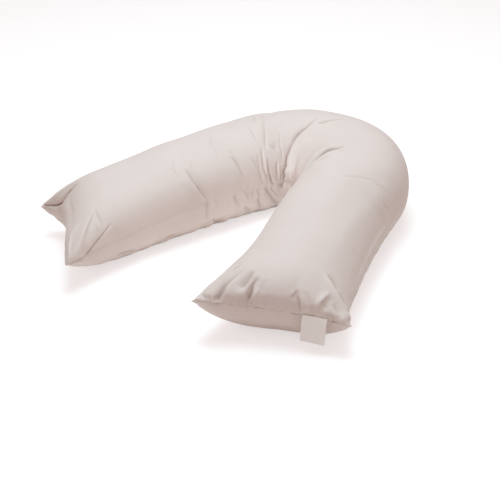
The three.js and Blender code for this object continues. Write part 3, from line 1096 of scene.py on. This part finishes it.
@dataclass
class PillowBody:
    """The filled body: two sewn panels with their folds, seam and puckers. Sizes are in millimetres.

    Attributes:
        form: The smooth form.
        broad: The broad folds, placed on the form.
        fine: The fine creases, placed on the form.
        runs: Spacing of the mesh rows.
        seam_steps: Distances from the seam of the first columns, on either side of a panel.
        top_columns: Faces across the top panel; the underside has half as many.
        cloth: The cloth simulation.
        fold_fill: Filling thickness under which folds fade out.
        fold_floor: Height under which there are no folds.
        fold_ease: Height over which they grow from there to full depth.
        corner_place: Middle of the inner corner, from the spine's own origin.
        corner_reach: How far the tight cloth round it reaches.
        corner_run: Place of the inner corner along the seam.
        corner_length: How far along the seam its puckers reach.
        end_length: How far from an open end its puckers reach.
        groove: Depth of the seam's groove.
        groove_width: Its half width.
        side_groove: Share of that depth which the side seams have.
        dash_reach: How far from an open end the dashes of its seam reach.
        ear_clear: Distance from an ear's tip without dashes.
        ear_ease: Distance over which they grow from there.
        puff: Height of the cloth standing up beside the seam.
        puff_at: Distance of that from the seam.
        puff_width: Its half width.
        pucker: Height of the seam's puckers.
        pucker_at: Distance from the seam where they are highest.
        pucker_ripple: How they come and go along the seam.
        lump: Height of the filling's slow unevenness.
        hem_wave: Unevenness of the lower edge.
        hem_height: How far up it reaches.
        hem_clear: Distance that it keeps from the seam.
        floor_ease: Height over which all this relief grows from the floor.
        hem_ripple: How it changes along the spine.
        dash_ripple: How the dashes of the end seams come and go.
        deepest: Most of the filling's thickness that a fold takes.
        broad_blunt: How round the broad folds are.
        fine_blunt: How round the fine creases are.
        refine: Reach of each round of splitting faces beside the fine creases, in widths and then in
            millimetres, and the widest narrow side of the creases it takes.
        shade_depth: Depth of a crease that gets the darkest painted shade.
        ridge_light: How much painted highlight a ridge gets, as a share of a crease's painted shade.
        ground_shade: How dark the painted contact shadow along the lower edge is, where it meets the floor.
        ground_reach: How far up that painted shadow reaches.
        seam_shade: How dark the painted shade in the dashes of the end seams is: 1 is as dark as the
            deepest crease.
        seam_light: How much painted highlight lightens the line of the side seams, in the same measure.
        light_from: Distance along the spine past which that line gets painted highlight. Before it, the line
            gets painted shade.
        line_width: Half width of those lines.
    """

    form: PillowForm
    broad: tuple[Fold, ...]
    fine: tuple[Fold, ...]
    runs: tuple[RowRun, ...] = (
        RowRun(120, 6.5),
        RowRun(290, 12),
        RowRun(400, 8),
        RowRun(480, 11),
        RowRun(1040, 8),
        RowRun(1470, 12),
        RowRun(math.inf, 6.5),
    )
    seam_steps: tuple[float, ...] = (2.4, 5.6, 9.8, 15, 21.5, 29)
    top_columns: int = 58
    cloth: ClothRun = field(default_factory=ClothRun)
    fold_fill: float = 14.0
    fold_floor: float = 5.0
    fold_ease: float = 22.0
    corner_place: tuple[float, float] = (-5.0, 60.0)
    corner_reach: float = 95.0
    corner_run: float = 560.0
    corner_length: float = 170.0
    end_length: float = 70.0
    groove: float = 1.8
    groove_width: float = 1.7
    side_groove: float = 0.4
    dash_reach: float = 30.0
    ear_clear: float = 12.0
    ear_ease: float = 25.0
    puff: float = 0.3
    puff_at: float = 6.0
    puff_width: float = 3.6
    pucker: float = 1.3
    pucker_at: float = 9.0
    pucker_ripple: Ripple = Ripple(46, 15, 21)
    lump: float = 0.9
    hem_wave: float = 2.4
    hem_height: float = 46.0
    hem_clear: float = 4.0
    floor_ease: float = 4.0
    hem_ripple: Ripple = Ripple(120, 34, 8)
    dash_ripple: Ripple = Ripple(60, 12, 3)
    deepest: float = 0.4
    broad_blunt: float = 1.6
    fine_blunt: float = 1.05
    refine: tuple[tuple[float, float, float], ...] = ((2.0, 3.0, 9.0), (1.0, 2.5, 3.2))
    shade_depth: float = 9.0
    ridge_light: float = 0.32
    ground_shade: float = 1.1
    ground_reach: float = 23.0
    seam_shade: float = 2.0
    seam_light: float = 0.3
    light_from: float = 370.0
    line_width: float = 1.7

    def build(self, shift: np.ndarray) -> bpy.types.Object:
        """Builds the finished body.

        Args:
            shift: Move from the spine's own origin to the frame's.

        Returns:
            The body's object.
        """
        grid = self.grid()
        mesh = bpy.data.meshes.new("pillow_skin")
        mesh.from_pydata(((grid.points + shift) * MM).tolist(), [], grid.faces)
        self._note(mesh, grid)
        body = add_piece("pillow", mesh)
        normals = read_normals(mesh)
        pressed, _ = self._press(grid.points, normals, grid.fill, self.broad, self.broad_blunt)
        start = grid.points + normals * (pressed + self._lumps(grid))[:, None]
        write_points(mesh, (start + shift) * MM)
        self._fill_out(body, grid, start, shift)
        smooth = body.modifiers.new("smooth", "SUBSURF")
        smooth.levels = smooth.render_levels = 1
        keep_as_mesh(body, smooth)
        for widths, spare, widest in self.refine:
            self._refine(body.data, widths, spare, widest)
        self._finish_skin(body.data, grid, shift)
        body.data.materials.append(COTTON.build())
        LOG.info("pillow body: %d triangles", sum(len(face.vertices) - 2 for face in body.data.polygons))
        return body

    def seam_line(self, body: bpy.types.Object) -> np.ndarray:
        """Finds the seam of the finished body, in metres, in order round the pillow."""
        return read_points(body.data)[self.grid().loop]

    def rows(self) -> np.ndarray:
        """Places the mesh rows along the spine, closer where the cloth folds."""
        places, start = [0.0], 0.0
        for run in self.runs:
            until = min(run.until, self.form.length)
            count = max(round((until - start) / run.step), 1)
            places.extend(start + (until - start) * n / count for n in range(1, count + 1))
            start = until
        return np.array(places)

    def grid(self) -> SkinGrid:
        """Builds the grid over the top panel and the coarser one under it, joined at the seam.

        Returns:
            The grid, before any fold.
        """
        rows = self.rows()
        last, columns, half = len(rows) - 1, self.top_columns, self.top_columns // 2
        top_angle = self._columns(rows, Panel.TOP, columns)
        under_angle = self._columns(rows, Panel.UNDER, half)
        top, top_fill = self.form.skin(rows[:, None], top_angle)
        under, under_fill = self.form.skin(rows[:, None], under_angle)
        inside = np.zeros(under_fill.shape, dtype=bool)
        inside[1:-1, 1:-1] = True
        top_id = np.arange(top_fill.size).reshape(top_fill.shape)
        under_id = np.empty(under_fill.shape, dtype=int)
        under_id[inside] = top_fill.size + np.arange(inside.sum())
        under_id[:, 0], under_id[:, -1] = top_id[:, 0], top_id[:, -1]
        under_id[0], under_id[-1] = top_id[0, ::2], top_id[-1, ::2]
        faces: list[tuple[int, ...]] = []
        flat: list[tuple[float, float]] = []
        flats = [self._flat_panel(rows, skin) for skin in (top, under)]

        def add(*corners: tuple[int, int, int]) -> None:
            """Adds a face from corners, each a panel, a row and a column."""
            faces.append(tuple(int((top_id, under_id)[side][i, j]) for side, i, j in corners))
            flat.extend(tuple(flats[side][i, j]) for side, i, j in corners)

        for i in range(last):
            for j in range(columns):
                add((0, i, j), (0, i + 1, j), (0, i + 1, j + 1), (0, i, j + 1))
            for j in range(half if 0 < i < last - 1 else 0):
                add((1, i, j), (1, i, j + 1), (1, i + 1, j + 1), (1, i + 1, j))
        for edge, beside, turn in ((0, 1, 1), (last, last - 1, -1)):
            for j in range(half):
                a, b, c = (0, edge, 2 * j), (0, edge, 2 * j + 1), (0, edge, 2 * j + 2)
                d, e = (1, beside, j), (1, beside, j + 1)
                for corners in ((a, b, d), (b, e, d), (b, c, e)):
                    add(*corners[::turn])
        along = [np.repeat(rows[:, None], fill.shape[1], axis=1) for fill in (top_fill, under_fill)]
        return SkinGrid(
            points=np.concatenate([top.reshape(-1, 3), under[inside]]),
            fill=np.concatenate([top_fill.ravel(), under_fill[inside]]),
            along=np.concatenate([along[0].ravel(), along[1][inside]]),
            loop=np.concatenate([top_id[:-1, 0], top_id[-1, :-1], top_id[:0:-1, -1], top_id[0, :0:-1]]),
            ears=tuple(int(top_id[i, j]) for i in (0, -1) for j in (0, -1)),
            faces=faces,
            flat=flat,
        )

    def _columns(self, rows: np.ndarray, panel: Panel, count: int) -> np.ndarray:
        """Spaces a panel's columns evenly over its girth, and closer beside the seam.

        Args:
            rows: Distances of the rows along the spine.
            panel: The panel.
            count: Number of faces across it.

        Returns:
            Angles round the girth, row by row.
        """
        sweep = np.linspace(0, 180, 721)
        angles = sweep - 90 if panel is Panel.TOP else np.where(sweep < 90, -90 - sweep, 270 - sweep)
        skin = self.form.skin(rows[:, None], angles[None])[0]
        steps = np.linalg.norm(np.diff(skin, axis=1), axis=2)
        near = np.array(self.seam_steps if panel is Panel.TOP else self.seam_steps[1::2])
        chosen = np.empty((len(rows), count + 1))
        for row, step in enumerate(steps):
            girth = np.concatenate([[0], np.cumsum(step)])
            middle = np.linspace(near[-1], girth[-1] - near[-1], count + 1 - 2 * len(near))
            places = np.concatenate([[0], near[:-1], middle, (girth[-1] - near[:-1])[::-1], girth[-1:]])
            chosen[row] = np.interp(places, girth, sweep)
        return chosen - 90 if panel is Panel.TOP else np.where(chosen < 90, -90 - chosen, 270 - chosen)

    def _flat_panel(self, rows: np.ndarray, skin: np.ndarray) -> np.ndarray:
        """Lays a panel out flat.

        Args:
            rows: Distances of the rows along the spine.
            skin: The panel's points, row by row.

        Returns:
            The flat place of each point, in metres.
        """
        point, out, _ = self.form.spine(rows)
        steps = np.linalg.norm(np.diff(skin, axis=1), axis=2)
        girth = np.concatenate([np.zeros((len(rows), 1)), np.cumsum(steps, axis=1)], axis=1)
        girth -= girth[:, -1:] / 2
        return (point[:, None] + out[:, None] * girth[..., None]) * MM

    def _note(self, mesh: bpy.types.Mesh, grid: SkinGrid) -> None:
        """Stores what is known of each point on the mesh, and keeps the ends' seam sharp.

        Args:
            mesh: The body's mesh.
            grid: The grid it was made from.
        """
        place = mesh.attributes.new("form_place", "FLOAT_VECTOR", "POINT")
        place.data.foreach_set("vector", grid.points.astype(np.float32).ravel())
        for name, values in (("fill", grid.fill), ("along", grid.along)):
            layer = mesh.attributes.new(name, "FLOAT", "POINT")
            layer.data.foreach_set("value", values.astype(np.float32))
        flat = mesh.uv_layers.new(name="flat_panel")
        flat.data.foreach_set("uv", np.array(grid.flat, dtype=np.float32).ravel())
        ends = np.empty(2 * len(mesh.edges), dtype=np.int32)
        mesh.edges.foreach_get("vertices", ends)
        ends = ends.reshape(-1, 2)
        to_end = np.minimum(grid.along, self.form.length - grid.along)[ends].mean(1)
        sharp = grid.on_seam[ends].all(1) * np.clip(1.15 - to_end / 90, 0, 1)
        crease = mesh.attributes.new("crease_edge", "FLOAT", "EDGE")
        crease.data.foreach_set("value", sharp.astype(np.float32))
        tips = mesh.attributes.new("crease_vert", "FLOAT", "POINT")
        for corner in grid.ears:
            tips.data[corner].value = 1.0
        mesh.polygons.foreach_set("use_smooth", np.ones(len(mesh.polygons), dtype=bool))

    def _press(
        self,
        places: np.ndarray,
        normals: np.ndarray,
        fill: np.ndarray,
        folds: tuple[Fold, ...],
        blunt: float,
    ) -> tuple[np.ndarray, np.ndarray]:
        """Presses folds into the skin.

        Args:
            places: Points on the smooth form, where the folds' lines run.
            normals: Outward directions there.
            fill: Thickness of the filling there.
            folds: The folds to press.
            blunt: How round their bottoms are.

        Returns:
            How far each point moves along its normal, and how deep it lies in a crease's line for its
            painted shade, or below zero how high it lies on a ridge for its painted highlight.
        """
        marks = [fold.marks(self.form, places, normals, blunt) for fold in folds]
        height = sum(mark[0] for mark in marks)
        shades = np.array([mark[1] for mark in marks])
        shade = np.maximum(shades.max(0), 0) + np.minimum(shades.min(0), 0)
        lift = np.clip((places[:, 2] - self.fold_floor) / self.fold_ease, 0, 1)
        lift = lift * lift * (3 - 2 * lift)
        height = np.maximum(height, -self.deepest * fill) * lift * np.clip(fill / self.fold_fill, 0, 1)
        return height, shade * lift

    def _refine(self, mesh: bpy.types.Mesh, widths: float, spare: float, widest: float) -> None:
        """Splits the faces beside the fine creases.

        Args:
            mesh: The body's mesh.
            widths: How far to reach from a crease's line, in widths of its narrow side.
            spare: How much farther to reach, in millimetres.
            widest: Widest narrow side of the creases to take.
        """
        places = read_layer(mesh, "form_place")
        marked = np.zeros(len(places), dtype=bool)
        for fold in self.fine:
            narrow = min(fold.soft, fold.steep)
            reach = widths * narrow + spare
            if narrow <= widest:
                which, gap, *_ = fold.measure(self.form, places, reach)
                marked[which[gap < reach]] = True
        work = bmesh.new()
        work.from_mesh(mesh)
        edges = [edge for edge in work.edges if all(marked[corner.index] for corner in edge.verts)]
        bmesh.ops.subdivide_edges(work, edges=edges, cuts=1, use_grid_fill=True)
        work.to_mesh(mesh)
        work.free()

    def _lumps(self, grid: SkinGrid) -> np.ndarray:
        """Gives the slow rise and fall of the filling under the skin."""
        x, y, z = grid.points.T
        wave = np.sin(x / 47 + 1.3) * np.sin(y / 61 + 0.4) + 0.6 * np.sin(x / 29 + y / 33 + z / 40)
        return self.lump * wave * np.clip(grid.fill / 90, 0, 1) * np.clip(z / 60, 0, 1)

    def _fill_out(
        self, body: bpy.types.Object, grid: SkinGrid, start: np.ndarray, shift: np.ndarray
    ) -> None:
        """Lets the filling press the folded skin out, and keeps each point's move short.

        Args:
            body: The body's object.
            grid: The grid it was made from.
            start: The folded points.
            shift: Move from the spine's own origin to the frame's.
        """
        hold = np.full(len(start), self.cloth.hold)
        hold[grid.on_seam] = self.cloth.seam_hold
        hold[grid.points[:, 2] < 1.0] = 1.0
        end = np.minimum(grid.along, self.form.length - grid.along)
        x, y = ((grid.points[:, :2] - np.array(self.corner_place)) / self.corner_reach).T
        corner = np.exp(-(x**2) - y**2)
        at_ends, thin = np.exp(-((end / 60) ** 2)), np.exp(-grid.fill / 60)
        spare = at_ends + 0.9 * corner + 0.3 * thin + 0.1
        move = self.cloth.apply_to(body, hold, np.clip(spare, 0, 1)) / MM - shift - start
        move *= (self.cloth.kept * (1 - 0.6 * corner))[:, None]
        far = np.linalg.norm(move, axis=1)
        LOG.info("cloth run: mean move %.1f mm, most %.1f mm", far.mean(), far.max())
        move *= np.minimum(1, self.cloth.cap / np.maximum(far, 1e-6))[:, None]
        write_points(body.data, (start + move + shift) * MM)

    def _finish_skin(self, mesh: bpy.types.Mesh, grid: SkinGrid, shift: np.ndarray) -> None:
        """Adds the fine creases, the seam's groove, its puckers and the uneven lower edge.

        Args:
            mesh: The body's mesh, already subdivided.
            grid: The grid it was made from.
            shift: Move from the spine's own origin to the frame's.
        """
        places, fill, along = (read_layer(mesh, name) for name in ("form_place", "fill", "along"))
        normals = read_normals(mesh)
        points = read_points(mesh) / MM - shift
        pressed, shade = self._press(places, normals, fill, self.fine, self.fine_blunt)
        gap, run = self._from_seam(places, grid.points[grid.loop])
        end = np.minimum(along, self.form.length - along)
        corner = np.exp(-(((run - self.corner_run) / self.corner_length) ** 2))
        busy = 0.3 + 0.9 * corner + 0.9 * np.exp(-((end / self.end_length) ** 2))
        near = gap / self.pucker_at
        height = self.pucker * busy * self.pucker_ripple.at(run) * near * np.exp(1 - near)
        height += self.puff * np.exp(-(((gap - self.puff_at) / self.puff_width) ** 2))
        from_ear = np.min([np.linalg.norm(places - grid.points[ear], axis=1) for ear in grid.ears], axis=0)
        past_ear = np.clip((from_ear - self.ear_clear) / self.ear_ease, 0, 1)
        at_end = np.exp(-((end / self.dash_reach) ** 2)) * past_ear
        groove = self.groove * (self.side_groove + (1 - self.side_groove) * at_end)
        height -= groove * np.exp(-((gap / self.groove_width) ** 2))
        low = np.clip(places[:, 2] / self.hem_height, 0, 1)
        height += self.hem_wave * self.hem_ripple.at(along) * np.sin(math.pi * low) * (gap > self.hem_clear)
        height *= np.clip(places[:, 2] / self.floor_ease, 0, 1)
        points += normals * (pressed + height)[:, None]
        points[:, 2] = np.maximum(points[:, 2], 0)
        write_points(mesh, (points + shift) * MM)
        for name in ("form_place", "fill", "along", "crease_edge", "crease_vert"):
            mesh.attributes.remove(mesh.attributes[name])
        # Painted contact shadow along the lower edge where it meets the floor, fading out towards the ends.
        ground = self.ground_shade * np.clip(1 - places[:, 2] / self.ground_reach, 0, 1)
        far_share = along / 90
        near_share = 0.6 + (self.form.length - along) / 400
        ground *= np.clip(np.minimum(far_share, near_share), 0, 1)
        # Painted shade in the fine creases and painted highlight on their ridges.
        deep = np.maximum(np.clip(shade / self.shade_depth, 0, 1.5), ground)
        high = self.ridge_light * np.clip(shade / self.shade_depth, -1, 0)
        # Painted shade in the dashes of the end seams; along the side seams painted highlight, or painted
        # shade before light_from.
        dash = np.clip(0.3 + 1.2 * self.dash_ripple.at(run), 0, 1)
        light = self.seam_light * np.clip((along - self.light_from) / 60, -0.8, 1)
        seam_painted_shading = at_end * (self.seam_shade * dash + light) - light
        layers = {
            "crease": deep + high,
            "crease_seam_near": 1 - gap / self.line_width,
            "crease_seam_tone": seam_painted_shading,
        }
        for name, values in layers.items():
            layer = mesh.attributes.new(name, "FLOAT", "POINT")
            layer.data.foreach_set("value", values.astype(np.float32))

    def _from_seam(self, places: np.ndarray, loop: np.ndarray) -> tuple[np.ndarray, np.ndarray]:
        """Measures from the seam.

        Args:
            places: Points on the smooth form.
            loop: The seam's points in order, on the smooth form.

        Returns:
            Distance from the seam and place along it, for each point.
        """
        ends = np.concatenate([loop, loop[:1]])
        run = np.concatenate([[0], np.cumsum(np.linalg.norm(np.diff(ends, axis=0), axis=1))])
        spots = np.arange(0, run[-1], 1.5)
        line = np.stack([np.interp(spots, run, ends[:, axis]) for axis in range(3)], axis=1)
        tree = KDTree(len(line))
        for index, point in enumerate(line):
            tree.insert(point, index)
        tree.balance()
        found = [tree.find(place) for place in places]
        return np.array([hit[2] for hit in found]), spots[[hit[1] for hit in found]]


@dataclass
class SeamStitches:
    """The row of thread stitches that shows in the seam. Sizes are in metres.

    Attributes:
        pitch: Distance from one stitch to the next.
        stitch: Length of a stitch.
        thread: Width of the thread.
        seed: Start of the random draws for their size.
    """

    pitch: float = 0.0046
    stitch: float = 0.0032
    thread: float = 0.0008
    seed: int = 5

    def build(self, line: np.ndarray) -> bpy.types.Object:
        """Builds the stitches along the seam.

        Args:
            line: The seam's points in order, in metres.

        Returns:
            The stitches' object.
        """
        count = len(line)
        mesh = bpy.data.meshes.new("seam_thread")
        mesh.from_pydata(line.tolist(), [(n, (n + 1) % count) for n in range(count)], [])
        piece = add_piece("seam_stitches", mesh)
        tree = self._tree()
        modifier = piece.modifiers.new("stitches", "NODES")
        modifier.node_group = tree
        sizes = {
            "Pitch": self.pitch,
            "Stitch Length": self.stitch,
            "Thread Width": self.thread,
            "Seed": self.seed,
        }
        for item in tree.interface.items_tree:
            if item.name in sizes:
                modifier[item.identifier] = sizes[item.name]
            elif item.name == "Thread":
                modifier[item.identifier] = THREAD.build()
        keep_as_mesh(piece, modifier)
        LOG.info("seam stitches: %d faces", len(piece.data.polygons))
        return piece

    def _tree(self) -> bpy.types.NodeTree:
        """Builds the node tree that sets one stitch at each pitch along the seam.

        Returns:
            The tree, with inputs for the stitch's sizes.
        """
        tree = bpy.data.node_groups.new("stitch_row", "GeometryNodeTree")
        wire = Wiring(tree)
        wire.socket("Seam", "Geometry")
        for name in ("Pitch", "Stitch Length", "Thread Width"):
            wire.socket(name, "Float")
        wire.socket("Seed", "Int")
        wire.socket("Thread", "Material")
        wire.socket("Stitches", "Geometry", output=True)
        given = wire.node("NodeGroupInput").outputs
        curve = wire.node("GeometryNodeMeshToCurve", {"Mesh": given["Seam"]}).outputs["Curve"]
        row = wire.node(
            "GeometryNodeResampleCurve", {"Curve": curve, "Length": given["Pitch"]}, mode="LENGTH"
        )
        bead = wire.node("GeometryNodeMeshIcoSphere", {"Radius": 0.5, "Subdivisions": 1}).outputs["Mesh"]
        thick = given["Thread Width"]
        size = wire.node("ShaderNodeCombineXYZ", {0: given["Stitch Length"], 1: thick, 2: thick})
        stitch = wire.node("GeometryNodeTransform", {"Geometry": bead, "Scale": size.outputs[0]})
        tangent = wire.node("GeometryNodeInputTangent").outputs["Tangent"]
        turn = wire.node("FunctionNodeAlignRotationToVector", {"Vector": tangent}, axis="X")
        uneven = wire.node("FunctionNodeRandomValue", {"Seed": given["Seed"]}, data_type="FLOAT")
        uneven.inputs[2].default_value, uneven.inputs[3].default_value = 0.85, 1.1
        placed = wire.node(
            "GeometryNodeInstanceOnPoints",
            {
                "Points": row.outputs["Curve"],
                "Instance": stitch.outputs["Geometry"],
                "Rotation": turn.outputs["Rotation"],
                "Scale": uneven.outputs[1],
            },
        )
        real = wire.node("GeometryNodeRealizeInstances", {"Geometry": placed.outputs["Instances"]})
        dressed = wire.node(
            "GeometryNodeSetMaterial", {"Geometry": real.outputs["Geometry"], "Material": given["Thread"]}
        )
        wire.node("NodeGroupOutput", {"Stitches": dressed.outputs["Geometry"]})
        return tree


@dataclass
class CareLabel:
    """The bare tape sewn into the near end's seam. Sizes are in millimetres.

    Attributes:
        form: The pillow's smooth form.
        across: Place of its middle across the end, from -1 to 1.
        width: Width of the tape.
        length: Length that hangs out.
        thick: Thickness.
        clear: Gap behind it.
        kick: How far it stands off the pillow.
        flare: How much farther out its lower edge hangs.
        sway: How far its lower edge hangs to the side.
        lift: How far above the seam's middle it starts.
        curl: How far its lower corners curl forward.
        columns: Faces across.
        rows: Faces down.
    """

    form: PillowForm
    across: float = 0.53
    width: float = 52.0
    length: float = 58.0
    thick: float = 1.2
    clear: float = 0.4
    kick: float = 8.0
    flare: float = 3.0
    sway: float = -1.0
    lift: float = 4.0
    curl: float = 1.6
    columns: int = 26
    rows: int = 30

    def build(self, shift: np.ndarray) -> bpy.types.Object:
        """Builds the label as a thin closed sheet.

        Args:
            shift: Move from the spine's own origin to the frame's.

        Returns:
            The label's object.
        """
        steps = np.linspace(-1, 1, self.columns + 1), np.linspace(0, 1, self.rows + 1)
        aside, drop = np.meshgrid(*steps, indexing="ij")
        points = np.concatenate([self._layer(aside, drop, front).reshape(-1, 3) for front in (False, True)])
        size, down = aside.size, self.rows + 1

        def at(i: int, j: int, front: bool) -> int:
            """Gives the index of a point by its column, row and side."""
            return i * down + j + size * front

        faces = []
        for i in range(self.columns):
            for j in range(self.rows):
                square = ((i, j), (i, j + 1), (i + 1, j + 1), (i + 1, j))
                faces.append(tuple(at(*corner, True) for corner in square))
                faces.append(tuple(at(*corner, False) for corner in (square[0], *square[:0:-1])))
            for j, turn in ((0, 1), (self.rows, -1)):
                rim = (at(i, j, False), at(i, j, True), at(i + 1, j, True), at(i + 1, j, False))
                faces.append(rim[::turn])
        for j in range(self.rows):
            for i, turn in ((0, 1), (self.columns, -1)):
                rim = (at(i, j, False), at(i, j + 1, False), at(i, j + 1, True), at(i, j, True))
                faces.append(rim[::turn])
        mesh = bpy.data.meshes.new("label_tape")
        mesh.from_pydata(((points + shift) * MM).tolist(), [], faces)
        flat = np.stack([aside * self.width / 2, drop * self.length], axis=-1).reshape(-1, 2) * MM
        layer = mesh.uv_layers.new(name="flat_panel")
        for loop in mesh.loops:
            layer.data[loop.index].uv = flat[loop.vertex_index % size]
        mesh.materials.append(TAPE.build())
        label = add_piece("care_label_tape", mesh)
        LOG.info("care label: %d faces", len(faces))
        return label

    def _layer(self, aside: np.ndarray, drop: np.ndarray, front: bool) -> np.ndarray:
        """Places one side of the tape.

        Args:
            aside: Places across the tape, from -1 to 1.
            drop: Places down the tape, from 0 to 1.
            front: True for the side that shows.

        Returns:
            Points of that side.
        """
        end = np.array(self.form.length)
        _, out, ahead = self.form.spine(end)
        half = (self.form.station("inner", end) + self.form.station("outer", end)) / 2
        across = self.across + aside * self.width / 2 / half
        seam = self.form.skin(np.full_like(across, self.form.length), np.degrees(np.arcsin(across)))[0]
        fall = drop * self.length
        away = self.clear + self.kick * (1 - np.exp(-fall / 14)) + self.thick * front
        away = away + self.flare * drop + self.curl * drop**2 * (aside**2 + 0.35 * np.sin(2.6 * aside + 0.6))
        seam[..., :2] += ahead * away[..., None] + out * (self.sway * drop)[..., None]
        seam[..., 2] += self.lift - fall
        return seam


@dataclass(frozen=True)
class SoftLight:
    """A soft square studio light. Sizes are in metres.

    Attributes:
        name: The light's name.
        place: Where it hangs.
        aim: Where it points.
        size: Side of the square.
        power: Power in watts.
        colour: Colour of the light.
        spread: Angle that the light fans out over, in degrees.
        seen: True if the camera may see it.
    """

    name: str
    place: tuple[float, float, float]
    aim: tuple[float, float, float]
    size: float
    power: float
    colour: tuple[float, float, float] = (1.0, 1.0, 1.0)
    spread: float = 180.0
    seen: bool = True

    def build(self) -> None:
        """Hangs the light."""
        lamp = bpy.data.lights.new(self.name, "AREA")
        lamp.size, lamp.energy, lamp.color = self.size, self.power, self.colour
        lamp.spread = math.radians(self.spread)
        light = bpy.data.objects.new(self.name, lamp)
        bpy.context.collection.objects.link(light)
        light.visible_camera = self.seen
        light.location = self.place
        light.rotation_euler = (Vector(self.aim) - Vector(self.place)).to_track_quat("-Z", "Y").to_euler()


@dataclass
class Studio:
    """The pale floor, the soft lights and the camera at the photo's angle. Sizes are in metres.

    Attributes:
        view: The photo's camera.
        floor_side: Side of the floor.
        floor_colour: The floor's colour to the camera.
        floor_glow: The floor's own light to the camera.
        bounce_colour: The floor's colour to the pillow.
        bounce_glow: The floor's own light to the pillow.
        bounce_strength: Strength of that light.
        patch_strength: How much stronger it is in a patch between the arms.
        patch_place: Middle of that patch.
        patch_reach: Its radius.
        sky_colour: Colour of the even light from all round.
        sky_strength: Strength of that light.
        lights: The soft lights.
    """

    view: PhotoView
    floor_side: float = 40.0
    floor_colour: tuple[float, float, float] = (0.5, 0.5, 0.5)
    floor_glow: tuple[float, float, float] = (0.62, 0.6, 0.6)
    bounce_colour: tuple[float, float, float] = (0.92, 0.88, 0.86)
    bounce_glow: tuple[float, float, float] = (0.95, 1.0, 0.95)
    bounce_strength: float = 0.075
    patch_strength: float = 0.07
    patch_place: tuple[float, float, float] = (-0.1, -0.15, 0.0)
    patch_reach: float = 0.42
    sky_colour: tuple[float, float, float] = (1.0, 0.8, 0.715)
    sky_strength: float = 0.407
    lights: tuple[SoftLight, ...] = (
        SoftLight("key", (-0.18, 0.1, 2.6), (0, 0, 0.1), 1.6, 56.6, (0.72, 0.914, 1.0)),
        SoftLight("back", (-1.3, 2.1, 1.9), (0, 0, 0.1), 1.6, 3, (0.8, 0.94, 1.0)),
        SoftLight("card", (0.09, -0.34, 0.1), (-0.03, 0.17, 0.09), 0.12, 0.05, (0.8, 0.95, 1.0), 45, False),
        SoftLight(
            "fill", (0.03, -0.28, 0.17), (-0.3, -0.14, 0.09), 0.25, 0.022, (0.84, 0.965, 1.0), 100, False
        ),
    )

    def build(self) -> bpy.types.Object:
        """Builds the studio.

        Returns:
            The floor, which isn't part of the object.
        """
        for light in self.lights:
            light.build()
        self._sky()
        self._camera()
        return self._floor()

    def _floor(self) -> bpy.types.Object:
        """Lays the floor."""
        side = self.floor_side / 2
        mesh = bpy.data.meshes.new("floor")
        corners = [(-side, -side, 0), (side, -side, 0), (side, side, 0), (-side, side, 0)]
        mesh.from_pydata(corners, [], [(0, 1, 2, 3)])
        material = bpy.data.materials.new("floor")
        material.use_nodes = True
        material.node_tree.nodes.clear()
        wire = Wiring(material.node_tree)
        place = wire.node("ShaderNodeTexCoord").outputs["Object"]
        away = wire.node("ShaderNodeVectorMath", {0: place, 1: self.patch_place}, operation="DISTANCE")
        patch = wire.node(
            "ShaderNodeMapRange",
            {
                "Value": away.outputs["Value"],
                "From Max": self.patch_reach,
                "To Min": self.bounce_strength + self.patch_strength,
                "To Max": self.bounce_strength,
            },
            interpolation_type="SMOOTHSTEP",
        )
        looks = (
            (self.bounce_colour, self.bounce_glow, patch.outputs["Result"]),
            (self.floor_colour, self.floor_glow, 1.0),
        )
        faces = [
            wire.node(
                "ShaderNodeBsdfPrincipled",
                {
                    "Base Color": (*colour, 1),
                    "Roughness": 1.0,
                    "Specular IOR Level": 0.0,
                    "Emission Color": (*glow, 1),
                    "Emission Strength": strength,
                },
            ).outputs["BSDF"]
            for colour, glow, strength in looks
        ]
        seen = wire.node("ShaderNodeLightPath").outputs["Is Camera Ray"]
        mix = wire.node("ShaderNodeMixShader", {0: seen, 1: faces[0], 2: faces[1]})
        wire.node("ShaderNodeOutputMaterial", {"Surface": mix.outputs["Shader"]})
        mesh.materials.append(material)
        return add_piece("floor", mesh)

    def _sky(self) -> None:
        """Fills the studio with even light."""
        world = bpy.data.worlds.new("studio")
        world.use_nodes = True
        sky = world.node_tree.nodes["Background"]
        sky.inputs["Color"].default_value = (*self.sky_colour, 1)
        sky.inputs["Strength"].default_value = self.sky_strength
        bpy.context.scene.world = world
        bpy.context.scene.view_settings.view_transform = "Standard"

    def _camera(self) -> None:
        """Sets the camera at the photo's angle."""
        optics = bpy.data.cameras.new("camera")
        optics.lens, optics.sensor_width = self.view.lens, self.view.sensor
        camera = bpy.data.objects.new("camera", optics)
        bpy.context.collection.objects.link(camera)
        camera.location = self.view.eye * MM
        camera.rotation_euler = (-Vector(self.view.back)).to_track_quat("-Z", "Y").to_euler()
        bpy.context.scene.camera = camera


def main() -> None:
    """Builds the pillow and the studio and tells the frame about each piece."""
    logging.basicConfig(level=logging.INFO, format="%(name)s: %(message)s")
    form, view = PillowForm(), PhotoView()
    shift = np.array([*form.bend_centre, 0.0])
    skin = SeenSkin(form, view, shift)
    broad = tuple(fold.placed(skin) for fold in BROAD_FOLDS)
    fine = tuple(fold.placed(skin) for fold in FINE_FOLDS)
    LOG.info("folds: %d broad, %d fine", len(broad), len(fine))

    body_maker = PillowBody(form, broad, fine)
    body = body_maker.build(shift)
    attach(body, "root")
    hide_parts(BODY_NODE)

    label_maker = CareLabel(form)
    label = label_maker.build(shift)
    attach(label, "root")
    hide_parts(LABEL_NODE)

    stitches = SeamStitches().build(body_maker.seam_line(body))
    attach(stitches, "root")

    Studio(view).build()


if __name__ == "__main__":
    main()
